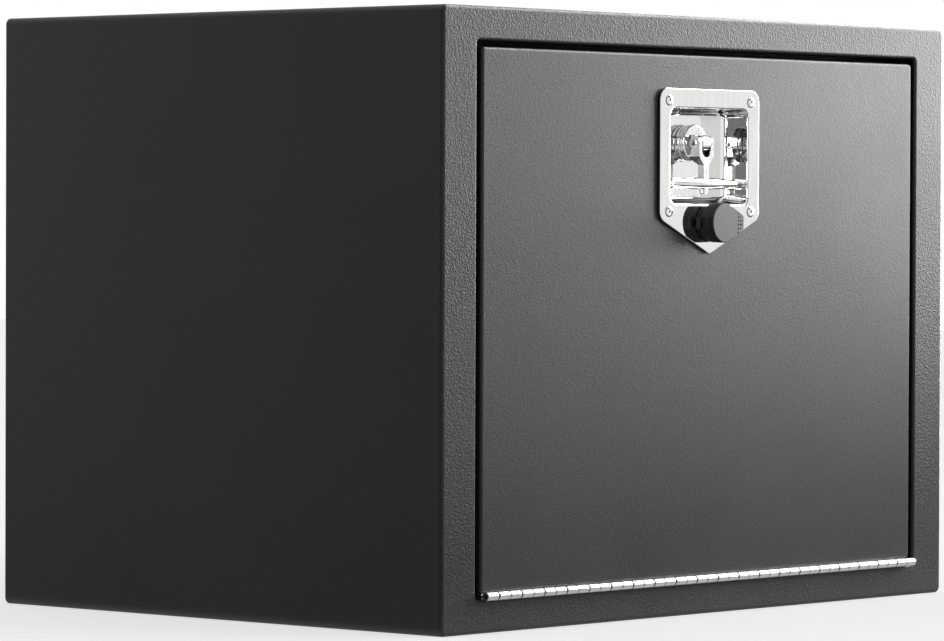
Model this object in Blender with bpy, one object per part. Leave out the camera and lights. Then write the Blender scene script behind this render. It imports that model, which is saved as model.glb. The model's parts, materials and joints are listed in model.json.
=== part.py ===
# Underbody truck tool box: a welded sheet steel box with a drop-down door,
# a full-width hinge and a folding T-handle latch with a capped key lock.
# Metres, +Z up. The door faces -Y. The origin is the middle of the base.

import math

import bmesh
import bpy
from mathutils import Matrix, Vector

# Box shell
BOX_WIDTH = 0.6096
BOX_HEIGHT = 0.4572
BOX_DEPTH = 0.4572
SHEET = 0.0019
CORNER_RADIUS = 0.005
BACK_FLANGE = 0.015

# Fits between pieces
GAP = 0.0003
RUNNING = 0.0004
OVERRUN = 0.006

# Front frame
FRAME_STILE = 0.038
FRAME_RAIL = 0.025
FRAME_RIM = 0.006
FRAME_LAP = 0.014
SHEET_BEND = 0.003
OPENING_RADIUS = 0.003
REBATE_DEPTH = 0.026
STOP_LIP = 0.013
LIP_RADIUS = 0.002

# Door
DOOR_SIDE_GAP = 0.005
DOOR_TOP_GAP = 0.0045
DOOR_THICKNESS = 0.018
DOOR_BEND = 0.0025
DOOR_CORNER = 0.0035
STIFFENER_SHEET = 0.0015
STIFFENER_SPACING = 0.310
STIFFENER_CROWN = 0.024
STIFFENER_FLANGE = 0.010
STIFFENER_DEPTH = 0.013

# Seal
SEAL_WIDTH = 0.009
SEAL_MARGIN = 0.002

# Hinge along the door's bottom edge
LEAF_SHEET = 0.0012
LEAF_SPACE = 0.0015
LEAF_REACH = 0.016
BARREL_RADIUS = 0.0032
BARREL_STANDOFF = 0.0044
BARREL_BORE = 0.0018
HINGE_PIN_RADIUS = 0.0014
FINGER_INSET = 0.0004
KNUCKLE_COUNT = 41
PIN_RECESS = 0.002

# Latch plate and its dish
PLATE_WIDTH = 0.12065
PLATE_SQUARE = 0.099
PLATE_POINT = 0.027
PLATE_SHEET = 0.0012
PLATE_DROP = 0.0258
PLATE_CORNER = 0.009
PLATE_TIP_RADIUS = 0.006
GASKET_THICKNESS = 0.0008
GASKET_INSET = 0.0015
DISH_WIDTH = 0.095
DISH_HEIGHT = 0.0725
DISH_DROP = 0.015
DISH_DEPTH = 0.0244
DISH_DRAFT = 0.0015
DISH_CORNER = 0.007
DISH_EDGE = 0.002
DISH_BEND = 0.005
LEAST_CORNER = 0.0005
CUTOUT_CLEARANCE = 0.001

# Rivets that hold the latch plate
RIVET_SPACING_X = 0.0995
RIVET_SPACING_Z = 0.0845
RIVET_DROP = 0.0092
RIVET_HEAD_RADIUS = 0.0041
RIVET_HEAD_HEIGHT = 0.0012
RIVET_SHANK_RADIUS = 0.0016
RIVET_TAIL_RADIUS = 0.0026
RIVET_TAIL_LENGTH = 0.003
RIVET_BORE = 0.0010
RIVET_BORE_DEPTH = 0.0018

# Spindle that the T-handle turns
HUB_DROP = 0.041
HUB_RADIUS = 0.0143
COLLAR_RADIUS = 0.0136
COLLAR_HEIGHT = 0.0034
HUB_HEIGHT = 0.004
HUB_EDGE = 0.0008
SHAFT_RADIUS = 0.005
BUSH_RADIUS = 0.011
CAM_THICKNESS = 0.004
CAM_WIDTH = 0.015
CAM_HEEL = 0.011
CAM_OVERLAP = 0.008
CAM_SEAT = 0.0036
NUT_RADIUS = 0.0085
NUT_HEIGHT = 0.005
THREAD_RADIUS = 0.003
THREAD_PROUD = 0.0015

# Folding T-handle
PIVOT_DEPTH = 0.0097
LUG_WIDTH = 0.008
LUG_RADIUS = 0.0055
CHEEK_RADIUS = 0.006
CHEEK_WIDTH = 0.0044
CLEVIS_SLOT = 0.011
CLEVIS_LENGTH = 0.0165
SHANK_WIDTH = 0.0064
SHANK_DEPTH = 0.0058
HANDLE_REACH = 0.031
BAR_DEPTH = 0.0053
BAR_LENGTH = 0.077
BAR_MIDDLE_RADIUS = 0.0046
BAR_END_RADIUS = 0.003
BAR_END_ROUND = 0.001
TAIL_RADIUS = 0.0034
TAIL_LENGTH = 0.0032
HANDLE_PIN_RADIUS = 0.002
HANDLE_PIN_BORE = 0.001
HANDLE_PIN_PROUD = 0.0006

# Key lock
LOCK_DROP = 0.102
LOCK_FLANGE_RADIUS = 0.0105
LOCK_FLANGE_HEIGHT = 0.004
LOCK_BARREL_RADIUS = 0.0092
LOCK_NUT_RADIUS = 0.0135
LOCK_NUT_HEIGHT = 0.0035
PLUG_RADIUS = 0.0056
KEYWAY_WIDTH = 0.0018
KEYWAY_HEIGHT = 0.0074
KEYWAY_DEPTH = 0.010
PLUG_FACE_RECESS = 0.0008
TONGUE_THICKNESS = 0.0025
TONGUE_WIDTH = 0.011
TONGUE_SEAT = 0.003
TONGUE_CLEARANCE = 0.0008
TONGUE_SCREW_RADIUS = 0.0042
TONGUE_SCREW_HEIGHT = 0.002
TONGUE_SCREW_SHANK = 0.0014
TONGUE_SCREW_DEPTH = 0.006

# Weather cap over the key lock
CAP_RADIUS = 0.015
CAP_WALL = 0.0018
CAP_LENGTH = 0.0152
CAP_EDGE = 0.0006
RING_HEIGHT = 0.0024
RING_RADIUS = 0.0138
RING_BORE = 0.0110
CAP_AXIS_OUT = 0.0185
CAP_AXIS_PROUD = 0.0036
EAR_RADIUS = 0.0018
EAR_HEIGHT = 0.0034
FORK_HEIGHT = 0.0024
CAP_PIN_RADIUS = 0.0007
RIB_HEIGHT = 0.0086
RIB_DEPTH = 0.0024
RIB_LENGTH = 0.0062
TAB_REACH = 0.0066
TAB_HEIGHT = 0.021
TAB_TIP_HEIGHT = 0.009
TAB_THICKNESS = 0.0026

# Keeper that the latch cam draws against
KEEPER_WIDTH = 0.060
KEEPER_SHEET = 0.002
KEEPER_HEIGHT = 0.012

# Eyes for the cables that hold the open door level
EYE_SHEET = 0.0025
EYE_HEIGHT = 0.024
EYE_REACH = 0.020
EYE_FOOT = 0.014
EYE_BORE = 0.004
DOOR_EYE_RISE = 0.230
FRAME_EYE_RISE = 0.330
EYE_SETBACK = 0.040

# Shares of a rivet head's radius and height
HEAD_CROWN_SHARE = 0.6
HEAD_SHOULDER_SHARE = 0.9

# Facets of round shapes
CORNER_STEPS = 3
BEND_STEPS = 2
ROUND_STEPS = 24
SMALL_ROUND_STEPS = 12
CURL_STEPS = 10
NUT_SIDES = 6
SEAL_STEPS = 8

# Places worked out from the sizes
FRONT = -BOX_DEPTH / 2
BACK = BOX_DEPTH / 2
OPENING_WIDTH = BOX_WIDTH - 2 * FRAME_STILE
OPENING_LOW = FRAME_RAIL
OPENING_HIGH = BOX_HEIGHT - FRAME_RAIL
HINGE_SPACE = 2 * (GAP + LEAF_SHEET) + LEAF_SPACE
DOOR_WIDTH = OPENING_WIDTH - 2 * DOOR_SIDE_GAP
DOOR_LOW = OPENING_LOW + HINGE_SPACE
DOOR_HIGH = OPENING_HIGH - DOOR_TOP_GAP
DOOR_BACK = FRONT + DOOR_THICKNESS
HINGE_Y = FRONT - BARREL_STANDOFF
HINGE_Z = OPENING_LOW + HINGE_SPACE / 2
LIP_FRONT = FRONT + REBATE_DEPTH - SHEET
LIP_BACK = FRONT + REBATE_DEPTH
GASKET_FRONT = FRONT - GAP - GASKET_THICKNESS
PLATE_BACK = GASKET_FRONT - GAP
PLATE_FRONT = PLATE_BACK - PLATE_SHEET
PLATE_TOP = DOOR_HIGH - PLATE_DROP
DISH_HIGH = PLATE_TOP - DISH_DROP
DISH_LOW = DISH_HIGH - DISH_HEIGHT
DISH_FLOOR = PLATE_FRONT + DISH_DEPTH
DISH_BACK = DISH_FLOOR + PLATE_SHEET
HUB_Z = PLATE_TOP - HUB_DROP
LOCK_Z = PLATE_TOP - LOCK_DROP
PIVOT_Y = PLATE_FRONT + PIVOT_DEPTH
BAR_Y = PLATE_FRONT + BAR_DEPTH
BAR_Z = HUB_Z - HANDLE_REACH
COLLAR_FRONT = DISH_FLOOR - GAP - COLLAR_HEIGHT
HUB_BACK = COLLAR_FRONT - GAP
HUB_FRONT = HUB_BACK - HUB_HEIGHT
CAM_FRONT = LIP_BACK + GAP + KEEPER_SHEET + GAP
CAM_BACK = CAM_FRONT + CAM_THICKNESS
LIP_LOW = OPENING_HIGH - STOP_LIP
CAM_REACH = LIP_LOW + CAM_OVERLAP - HUB_Z
TONGUE_FRONT = CAM_FRONT + (CAM_THICKNESS - TONGUE_THICKNESS) / 2
TONGUE_BACK = TONGUE_FRONT + TONGUE_THICKNESS
TONGUE_REACH = HUB_Z - CAM_HEEL - TONGUE_CLEARANCE - LOCK_Z
CAP_AXIS_Y = PLATE_FRONT - CAP_AXIS_PROUD


def clear_scene():
    for obj in list(bpy.data.objects):
        bpy.data.objects.remove(obj, do_unlink=True)


def finish(name, colour, roughness, metallic):
    """A plain finish with the piece's colour."""
    made = bpy.data.materials.new(name)
    made.use_nodes = True
    shader = made.node_tree.nodes["Principled BSDF"]
    shader.inputs["Base Color"].default_value = (*colour, 1.0)
    shader.inputs["Roughness"].default_value = roughness
    shader.inputs["Metallic"].default_value = metallic
    made.diffuse_color = (*colour, 1.0)
    return made


# Meshes

def box_of(low, high):
    """A block between two corners."""
    mesh = bmesh.new()
    bmesh.ops.create_cube(mesh, size=1)
    low, high = Vector(low), Vector(high)
    for vert in mesh.verts:
        vert.co = Vector(
            (high[i] + low[i]) / 2 + vert.co[i] * (high[i] - low[i]) for i in range(3)
        )
    return mesh


def loft(loops, ringed=False):
    """Bridges loops of equal count. A ringed loft joins its ends, and any other is capped."""
    mesh = bmesh.new()
    rows = [[mesh.verts.new(point) for point in loop] for loop in loops]
    pairs = list(zip(rows, rows[1:]))
    if ringed:
        pairs.append((rows[-1], rows[0]))
    for first, second in pairs:
        for i in range(len(first)):
            k = (i + 1) % len(first)
            mesh.faces.new((first[i], first[k], second[k], second[i]))
    if not ringed:
        mesh.faces.new(rows[0][::-1])
        mesh.faces.new(rows[-1])
    bmesh.ops.recalc_face_normals(mesh, faces=mesh.faces)
    return mesh


def arc(centre, radius, start, end, steps):
    """Points on an arc in a plane, with angles in degrees."""
    points = []
    for i in range(steps + 1):
        angle = math.radians(start + (end - start) * i / steps)
        points.append((centre[0] + radius * math.cos(angle), centre[1] + radius * math.sin(angle)))
    return points


def rounded(width, low, high, radius, steps=CORNER_STEPS):
    """Outline of a rectangle with round corners, centred on x, between two heights."""
    side = width / 2 - radius
    bottom, top = low + radius, high - radius
    corners = ((side, bottom, -90), (side, top, 0), (-side, top, 90), (-side, bottom, 180))
    points = []
    for x, z, start in corners:
        points += arc((x, z), radius, start, start + 90, steps)
    return points


def at_depth(outline, y):
    return [(x, y, z) for x, z in outline]


def prism(outline, front, back):
    """An outline in x and z, made solid between two depths."""
    return loft([at_depth(outline, front), at_depth(outline, back)])


def prism_along_x(outline, left, right):
    """An outline in y and z, made solid between two sides."""
    return loft([[(x, y, z) for y, z in outline] for x in (left, right)])


def prism_along_z(outline, low, high):
    """An outline in x and y, made solid between two heights."""
    return loft([[(x, y, z) for x, y in outline] for z in (low, high)])


def turned(profile, steps=ROUND_STEPS):
    """A solid turned about the y axis from points of (radius, y). A radius of zero ends it in a point."""
    mesh = bmesh.new()
    rows = []
    for radius, y in profile:
        if radius == 0:
            rows.append([mesh.verts.new((0, y, 0))])
            continue
        angles = [2 * math.pi * i / steps for i in range(steps)]
        rows.append([mesh.verts.new((radius * math.cos(a), y, radius * math.sin(a))) for a in angles])
    closed = profile[0][0] != 0 and profile[-1][0] != 0
    pairs = list(zip(rows, rows[1:]))
    if closed:
        pairs.append((rows[-1], rows[0]))
    for first, second in pairs:
        for i in range(steps):
            k = (i + 1) % steps
            corners = [first[i % len(first)], first[k % len(first)]]
            corners += [second[k % len(second)], second[i % len(second)]]
            mesh.faces.new(list(dict.fromkeys(corners)))
    bmesh.ops.recalc_face_normals(mesh, faces=mesh.faces)
    return mesh


def moved(mesh, offset):
    bmesh.ops.translate(mesh, verts=mesh.verts, vec=Vector(offset))
    return mesh


def along_x(mesh):
    """Turns a solid made about the y axis so that it lies along x."""
    bmesh.ops.rotate(mesh, verts=mesh.verts, matrix=Matrix.Rotation(-math.pi / 2, 3, "Z"))
    return mesh


def along_z(mesh):
    """Turns a solid made about the y axis so that it stands along z."""
    bmesh.ops.rotate(mesh, verts=mesh.verts, matrix=Matrix.Rotation(math.pi / 2, 3, "X"))
    return mesh


# Objects

def carrier(name, place, carried_by=None):
    """An empty on a joint's axis, which carries the pieces that move with it."""
    empty = bpy.data.objects.new(name, None)
    empty.location = place
    if carried_by:
        empty.parent = carried_by
        empty.matrix_parent_inverse = Matrix.Translation(-carried_by.location)
    bpy.context.scene.collection.objects.link(empty)
    return empty


def piece(name, mesh, material, carried_by=None, round_piece=False, place=(0, 0, 0)):
    """An object from a mesh, with its own finish, carried by an empty where it moves."""
    data = bpy.data.meshes.new(name)
    mesh.to_mesh(data)
    mesh.free()
    obj = bpy.data.objects.new(name, data)
    obj.location = place
    data.materials.append(material)
    if round_piece:
        data.shade_smooth()
        data.set_sharp_from_angle(angle=math.radians(35))
    if carried_by:
        obj.parent = carried_by
        obj.matrix_parent_inverse = Matrix.Translation(-carried_by.location)
    bpy.context.scene.collection.objects.link(obj)
    return obj


def helper(name, mesh):
    """A guide that shapes other pieces and isn't one itself."""
    data = bpy.data.meshes.new(name)
    mesh.to_mesh(data)
    mesh.free()
    obj = bpy.data.objects.new(name, data)
    obj.hide_render = True
    obj.display_type = "WIRE"
    bpy.context.scene.collection.objects.link(obj)
    return obj


def combine(obj, other, operation):
    modifier = obj.modifiers.new(other.name, "BOOLEAN")
    modifier.operation = operation
    modifier.solver = "EXACT"
    modifier.object = other


def cut(obj, other):
    combine(obj, other, "DIFFERENCE")


def join(obj, other):
    combine(obj, other, "UNION")


# Box shell

def shell_loop(inset, y):
    radius = max(CORNER_RADIUS - inset, LIP_RADIUS / 2)
    return at_depth(rounded(BOX_WIDTH - 2 * inset, inset, BOX_HEIGHT - inset, radius), y)


def opening_loop(outset, y):
    radius = max(OPENING_RADIUS + outset, LIP_RADIUS)
    outline = rounded(OPENING_WIDTH + 2 * outset, OPENING_LOW - outset, OPENING_HIGH + outset, radius)
    return at_depth(outline, y)


def make_wrapper(paint):
    """Top, sides and bottom, folded from one sheet."""
    front = FRONT + FRAME_RIM + GAP
    loops = [
        shell_loop(0, front),
        shell_loop(0, BACK),
        shell_loop(SHEET, BACK),
        shell_loop(SHEET, front),
    ]
    return piece("body_wrapper", loft(loops, ringed=True), paint)


def make_back_panel(paint):
    """A shallow tray that closes the back, inside the wrapper."""
    fit = SHEET + GAP
    loops = [shell_loop(fit + SHEET_BEND, BACK)]
    for out, y in arc((0, 0), SHEET_BEND, 90, 0, BEND_STEPS)[1:]:
        loops.append(shell_loop(fit + SHEET_BEND - out, BACK - SHEET_BEND + y))
    loops += [
        shell_loop(fit, BACK - BACK_FLANGE),
        shell_loop(fit + SHEET, BACK - BACK_FLANGE),
        shell_loop(fit + SHEET, BACK - SHEET_BEND),
        shell_loop(fit + SHEET_BEND, BACK - SHEET),
    ]
    return piece("back_panel", loft(loops), paint)


def make_front_frame(paint):
    """The frame round the door: a lapped rim, a flat face, a return and the lip that the seal sits on."""
    inside_wrapper = SHEET + GAP
    lap_end = FRONT + FRAME_RIM + FRAME_LAP
    loops = [
        shell_loop(inside_wrapper, lap_end),
        shell_loop(inside_wrapper, FRONT + FRAME_RIM),
        shell_loop(0, FRONT + FRAME_RIM),
    ]
    for out, y in arc((0, 0), SHEET_BEND, 0, 90, BEND_STEPS):
        loops.append(shell_loop(SHEET_BEND - out, FRONT + SHEET_BEND - y))
    for out, y in arc((0, 0), DOOR_BEND, 90, 0, BEND_STEPS):
        loops.append(opening_loop(DOOR_BEND - out, FRONT + DOOR_BEND - y))
    loops += [
        opening_loop(0, LIP_FRONT),
        opening_loop(-STOP_LIP, LIP_FRONT),
        opening_loop(-STOP_LIP, LIP_BACK),
        opening_loop(SHEET, LIP_BACK),
        opening_loop(SHEET, FRONT + SHEET_BEND),
        opening_loop(SHEET_BEND, FRONT + SHEET),
        shell_loop(inside_wrapper + SHEET_BEND, FRONT + SHEET),
        shell_loop(inside_wrapper + SHEET, FRONT + SHEET_BEND),
        shell_loop(inside_wrapper + SHEET, lap_end),
    ]
    return piece("front_frame", loft(loops, ringed=True), paint)


def make_door_seal(rubber):
    """A bulb strip on the stop lip, between the lip and the closed door."""
    back = LIP_FRONT - GAP
    depth = back - (DOOR_BACK + GAP)
    middle = -(SEAL_MARGIN + SEAL_WIDTH / 2)
    loops = []
    for across, forward in arc((0, 0), 1, 0, 180, SEAL_STEPS):
        loops.append(opening_loop(middle + across * SEAL_WIDTH / 2, back - forward * depth))
    return piece("door_seal", loft(loops, ringed=True), rubber, round_piece=True)


def rod(radius, front, back, steps=SMALL_ROUND_STEPS):
    """A plain cylinder along y."""
    return turned([(0, front), (radius, front), (radius, back), (0, back)], steps)


def ring(outer, inner, front, back, steps=ROUND_STEPS):
    """A plain ring about y."""
    return turned([(outer, front), (outer, back), (inner, back), (inner, front)], steps)


def drill(obj, name, radius, x, z, front, back, steps=SMALL_ROUND_STEPS):
    """A round hole along y."""
    guide = helper(name, rod(radius, front - OVERRUN, back + OVERRUN, steps))
    guide.location = (x, 0, z)
    cut(obj, guide)


def make_nut(name, radius, screw_radius, seat, height, z, material, carried_by):
    """A hexagon nut on a screw along y."""
    nut = piece(name, rod(radius, seat, seat + height, NUT_SIDES), material, carried_by, place=(0, 0, z))
    drill(nut, f"{name}_bore", screw_radius + GAP, 0, z, seat, seat + height, ROUND_STEPS)


def rivet_mesh(head, tail):
    """A hollow button-head rivet from its seat at the front to its tail at the back."""
    rise = RIVET_HEAD_HEIGHT
    floor = head - rise + RIVET_BORE_DEPTH
    profile = [
        (0, floor),
        (RIVET_BORE, floor),
        (RIVET_BORE, head - rise),
        (RIVET_HEAD_RADIUS * HEAD_CROWN_SHARE, head - rise),
        (RIVET_HEAD_RADIUS * HEAD_SHOULDER_SHARE, head - rise * HEAD_CROWN_SHARE),
        (RIVET_HEAD_RADIUS, head),
        (RIVET_SHANK_RADIUS, head),
        (RIVET_SHANK_RADIUS, tail),
        (RIVET_TAIL_RADIUS, tail),
        (RIVET_TAIL_RADIUS, tail + RIVET_TAIL_LENGTH),
        (0, tail + RIVET_TAIL_LENGTH),
    ]
    return turned(profile, SMALL_ROUND_STEPS)


def make_keeper(steel):
    """The strike, welded behind the top lip."""
    front = LIP_BACK + GAP
    half = KEEPER_WIDTH / 2
    plate = box_of((-half, front, LIP_LOW), (half, front + KEEPER_SHEET, LIP_LOW + KEEPER_HEIGHT))
    piece("latch_keeper", plate, steel)


# Hinge

def knuckle_spans(first):
    """Every second knuckle along the door, as its left and right end."""
    pitch = DOOR_WIDTH / KNUCKLE_COUNT
    start = -DOOR_WIDTH / 2
    return [
        (start + i * pitch + GAP / 2, start + (i + 1) * pitch - GAP / 2)
        for i in range(first, KNUCKLE_COUNT, 2)
    ]


def tube_along_x(left, right):
    """One knuckle's barrel, round the hinge's axis."""
    mesh = along_x(ring(BARREL_RADIUS, BARREL_BORE, left, right, CURL_STEPS))
    return moved(mesh, (0, HINGE_Y, HINGE_Z))


def leaf_outline(spans):
    """A comb in x and y, whose fingers reach into the leaf's own barrels."""
    shoulder = HINGE_Y + BARREL_RADIUS + GAP
    finger = HINGE_Y + (BARREL_RADIUS + BARREL_BORE) / 2
    back = FRONT + LEAF_REACH
    points = [(DOOR_WIDTH / 2, back), (-DOOR_WIDTH / 2, back)]
    for left, right in spans:
        near, far = left + FINGER_INSET, right - FINGER_INSET
        points += [(near, shoulder), (near, finger), (far, finger), (far, shoulder)]
    if spans[0][0] > -DOOR_WIDTH / 2 + GAP:
        points.insert(2, (-DOOR_WIDTH / 2, shoulder))
        points.append((DOOR_WIDTH / 2, shoulder))
    return points


def make_leaf(name, first, low, steel, carried_by=None):
    spans = knuckle_spans(first)
    comb = prism_along_z(leaf_outline(spans), low, low + LEAF_SHEET)
    leaf = piece(name, comb, steel, carried_by)
    barrels = bmesh.new()
    for left, right in spans:
        part = bpy.data.meshes.new("barrel")
        tube = tube_along_x(left, right)
        tube.to_mesh(part)
        tube.free()
        barrels.from_mesh(part)
        bpy.data.meshes.remove(part)
    join(leaf, helper(f"{name}_barrels", barrels))
    return leaf


def make_hinge(steel, door):
    make_leaf("hinge_frame_leaf", 0, OPENING_LOW + GAP, steel)
    make_leaf("hinge_door_leaf", 1, DOOR_LOW - GAP - LEAF_SHEET, steel, door)
    half = DOOR_WIDTH / 2 - PIN_RECESS
    pin = moved(along_x(rod(HINGE_PIN_RADIUS, -half, half, CURL_STEPS)), (0, HINGE_Y, HINGE_Z))
    piece("hinge_pin", pin, steel, round_piece=True)


# Door

def door_loop(inset, y):
    radius = max(DOOR_CORNER - inset, LEAST_CORNER)
    outline = rounded(DOOR_WIDTH - 2 * inset, DOOR_LOW + inset, DOOR_HIGH - inset, radius)
    return at_depth(outline, y)


def make_door_panel(paint, door):
    """A shallow tray that opens inward, with its edges folded back."""
    loops = []
    for out, y in arc((0, 0), DOOR_BEND, 90, 0, BEND_STEPS):
        loops.append(door_loop(DOOR_BEND - out, FRONT + DOOR_BEND - y))
    loops += [
        door_loop(0, DOOR_BACK),
        door_loop(SHEET, DOOR_BACK),
        door_loop(SHEET, FRONT + DOOR_BEND),
        door_loop(DOOR_BEND, FRONT + SHEET),
    ]
    return piece("door_panel", loft(loops), paint, door)


def make_stiffeners(paint, door):
    """Two upright hat sections, welded to the inside of the door panel."""
    low = DOOR_LOW + SHEET + GAP
    high = DOOR_HIGH - SHEET - GAP
    base = FRONT + SHEET + GAP
    crown = base + STIFFENER_DEPTH
    for side, word in ((-1, "left"), (1, "right")):
        middle = side * STIFFENER_SPACING / 2
        half = STIFFENER_CROWN / 2
        right = [
            (half + STIFFENER_FLANGE, base),
            (half + STIFFENER_FLANGE, base + STIFFENER_SHEET),
            (half, base + STIFFENER_SHEET),
            (half, crown),
        ]
        inner = [
            (half - STIFFENER_SHEET, crown - STIFFENER_SHEET),
            (half - STIFFENER_SHEET, base),
        ]
        outline = right + [(-x, y) for x, y in right[::-1]]
        outline += [(-x, y) for x, y in inner[::-1]] + inner
        outline = [(middle + x, y) for x, y in outline]
        piece(f"door_stiffener_{word}", prism_along_z(outline, low, high), paint, door)


# Latch plate

def filleted(corners):
    """An outline through corners of (x, z, radius), each rounded by its own radius."""
    points = []
    for i, (x, z, radius) in enumerate(corners):
        here = Vector((x, z))
        before = (Vector(corners[i - 1][:2]) - here).normalized()
        after = (Vector(corners[(i + 1) % len(corners)][:2]) - here).normalized()
        half = before.angle(after) / 2
        centre = here + (before + after).normalized() * radius / math.sin(half)
        start = here + before * radius / math.tan(half) - centre
        end = here + after * radius / math.tan(half) - centre
        for k in range(CORNER_STEPS + 1):
            share = k / CORNER_STEPS
            spoke = (start * (1 - share) + end * share).normalized()
            points.append(tuple(centre + spoke * radius))
    return points


def plate_outline(inset):
    """The plate's shield: square above, with a blunt point below."""
    half = PLATE_WIDTH / 2
    slope = PLATE_POINT / half
    drop = inset * math.hypot(1, slope)
    shoulder = PLATE_TOP - PLATE_SQUARE
    tip = shoulder - PLATE_POINT + drop
    side = half - inset
    top = PLATE_TOP - inset
    radius = PLATE_CORNER - inset
    return filleted([
        (side, top, radius),
        (-side, top, radius),
        (-side, tip + side * slope, radius),
        (0, tip, PLATE_TIP_RADIUS),
        (side, tip + side * slope, radius),
    ])


def dish_loop(grow, y):
    radius = max(DISH_CORNER + grow, LEAST_CORNER)
    outline = rounded(DISH_WIDTH + 2 * grow, DISH_LOW - grow, DISH_HIGH + grow, radius)
    return at_depth(outline, y)


def dish_loops(sheet):
    """The dish from its rolled edge to its floor. A sheet's thickness more gives its outside."""
    edge = DISH_EDGE - sheet
    bend = DISH_BEND + sheet
    centre = DISH_FLOOR - DISH_BEND
    loops = []
    for out, y in arc((0, 0), edge, 90, 0, BEND_STEPS):
        loops.append(dish_loop(DISH_EDGE - out, PLATE_FRONT + DISH_EDGE - y))
    for out, y in arc((0, 0), bend, 0, 90, BEND_STEPS):
        loops.append(dish_loop(out - DISH_BEND - DISH_DRAFT, centre + y))
    return loops


def make_latch_plate(steel, door):
    """One pressing: the flat shield and the dish sunk in it."""
    plate = piece("latch_plate", prism(plate_outline(0), PLATE_FRONT, PLATE_BACK), steel, door)
    outside = dish_loops(PLATE_SHEET)
    inside = dish_loops(0)
    start = (PLATE_FRONT + PLATE_BACK) / 2
    join(plate, helper("dish_outside", loft([dish_loop(DISH_EDGE, start)] + outside)))
    cut(plate, helper("dish_inside", loft([dish_loop(DISH_EDGE, PLATE_FRONT - OVERRUN)] + inside)))
    return plate


def make_gasket(rubber, door):
    """A flat gasket between the latch plate and the door."""
    flat = prism(plate_outline(GASKET_INSET), GASKET_FRONT, GASKET_FRONT + GASKET_THICKNESS)
    return piece("latch_gasket", flat, rubber, door)


def make_plate_rivets(steel, door, pieces):
    """Four rivets through the plate, the gasket and the door."""
    top = PLATE_TOP - RIVET_DROP
    rows = (("upper", top), ("lower", top - RIVET_SPACING_Z))
    for row, z in rows:
        for side, word in ((-1, "left"), (1, "right")):
            x = side * RIVET_SPACING_X / 2
            guide = helper(f"plate_hole_{row}_{word}", rod(
                RIVET_SHANK_RADIUS + GAP, PLATE_FRONT - OVERRUN, FRONT + SHEET + OVERRUN,
            ))
            guide.location = (x, 0, z)
            for pierced in pieces:
                cut(pierced, guide)
            rivet = rivet_mesh(PLATE_FRONT - GAP, FRONT + SHEET + GAP)
            name = f"plate_rivet_{row}_{word}"
            piece(name, rivet, steel, door, round_piece=True, place=(x, 0, z))


def make_cutouts(plate, gasket, panel):
    """The dish's hole in the door, the lock's hole and the spindle's hole in the dish floor."""
    grow = PLATE_SHEET + CUTOUT_CLEARANCE
    dish_hole = helper("dish_hole", loft([
        dish_loop(grow, PLATE_FRONT - OVERRUN),
        dish_loop(grow, FRONT + SHEET + OVERRUN),
    ]))
    lock_hole = helper("lock_hole", rod(
        LOCK_BARREL_RADIUS + GAP, PLATE_FRONT - OVERRUN, FRONT + SHEET + OVERRUN, ROUND_STEPS,
    ))
    lock_hole.location = (0, 0, LOCK_Z)
    for pierced in (gasket, panel):
        cut(pierced, dish_hole)
    for pierced in (plate, gasket, panel):
        cut(pierced, lock_hole)
    drill(plate, "spindle_hole", SHAFT_RADIUS + GAP, 0, HUB_Z, DISH_FLOOR, DISH_BACK)


# Spindle, cam and handle

def make_bearing(steel, door):
    """The collar in front of the dish floor and the bush behind it."""
    collar = ring(COLLAR_RADIUS, SHAFT_RADIUS + GAP, COLLAR_FRONT, COLLAR_FRONT + COLLAR_HEIGHT)
    piece("spindle_collar", collar, steel, door, round_piece=True, place=(0, 0, HUB_Z))
    bush = ring(BUSH_RADIUS, SHAFT_RADIUS + GAP, DISH_BACK + GAP, CAM_FRONT - GAP)
    piece("spindle_bush", bush, steel, door, round_piece=True, place=(0, 0, HUB_Z))


def make_spindle(steel, spindle):
    """The round hub with the lug that carries the handle, and the shaft behind it."""
    end = CAM_BACK + GAP + NUT_HEIGHT + THREAD_PROUD
    body = turned([
        (0, HUB_FRONT),
        (HUB_RADIUS - HUB_EDGE, HUB_FRONT),
        (HUB_RADIUS, HUB_FRONT + HUB_EDGE),
        (HUB_RADIUS, HUB_BACK),
        (SHAFT_RADIUS, HUB_BACK),
        (SHAFT_RADIUS, CAM_FRONT - GAP),
        (THREAD_RADIUS, CAM_FRONT - GAP),
        (THREAD_RADIUS, end),
        (0, end),
    ])
    hub = piece("spindle", body, steel, spindle, round_piece=True, place=(0, 0, HUB_Z))
    root = HUB_FRONT + HUB_HEIGHT / 2
    outline = arc((PIVOT_Y, HUB_Z), LUG_RADIUS, 90, 270, BEND_STEPS * 3)
    outline += [(root, HUB_Z - LUG_RADIUS), (root, HUB_Z + LUG_RADIUS)]
    join(hub, helper("lug", prism_along_x(outline, -LUG_WIDTH / 2, LUG_WIDTH / 2)))
    seat = box_of(
        (-CAM_SEAT, CAM_FRONT - GAP - SHAFT_RADIUS, HUB_Z - CAM_SEAT),
        (CAM_SEAT, CAM_BACK - GAP, HUB_Z + CAM_SEAT),
    )
    join(hub, helper("cam_seat", seat))
    cut(hub, handle_pin_hole("lug_bore", HANDLE_PIN_RADIUS + RUNNING))
    return hub


def handle_pin_hole(name, radius):
    half = LUG_WIDTH / 2 + CHEEK_WIDTH + OVERRUN
    return helper(name, moved(along_x(rod(radius, -half, half)), (0, PIVOT_Y, HUB_Z)))


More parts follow.
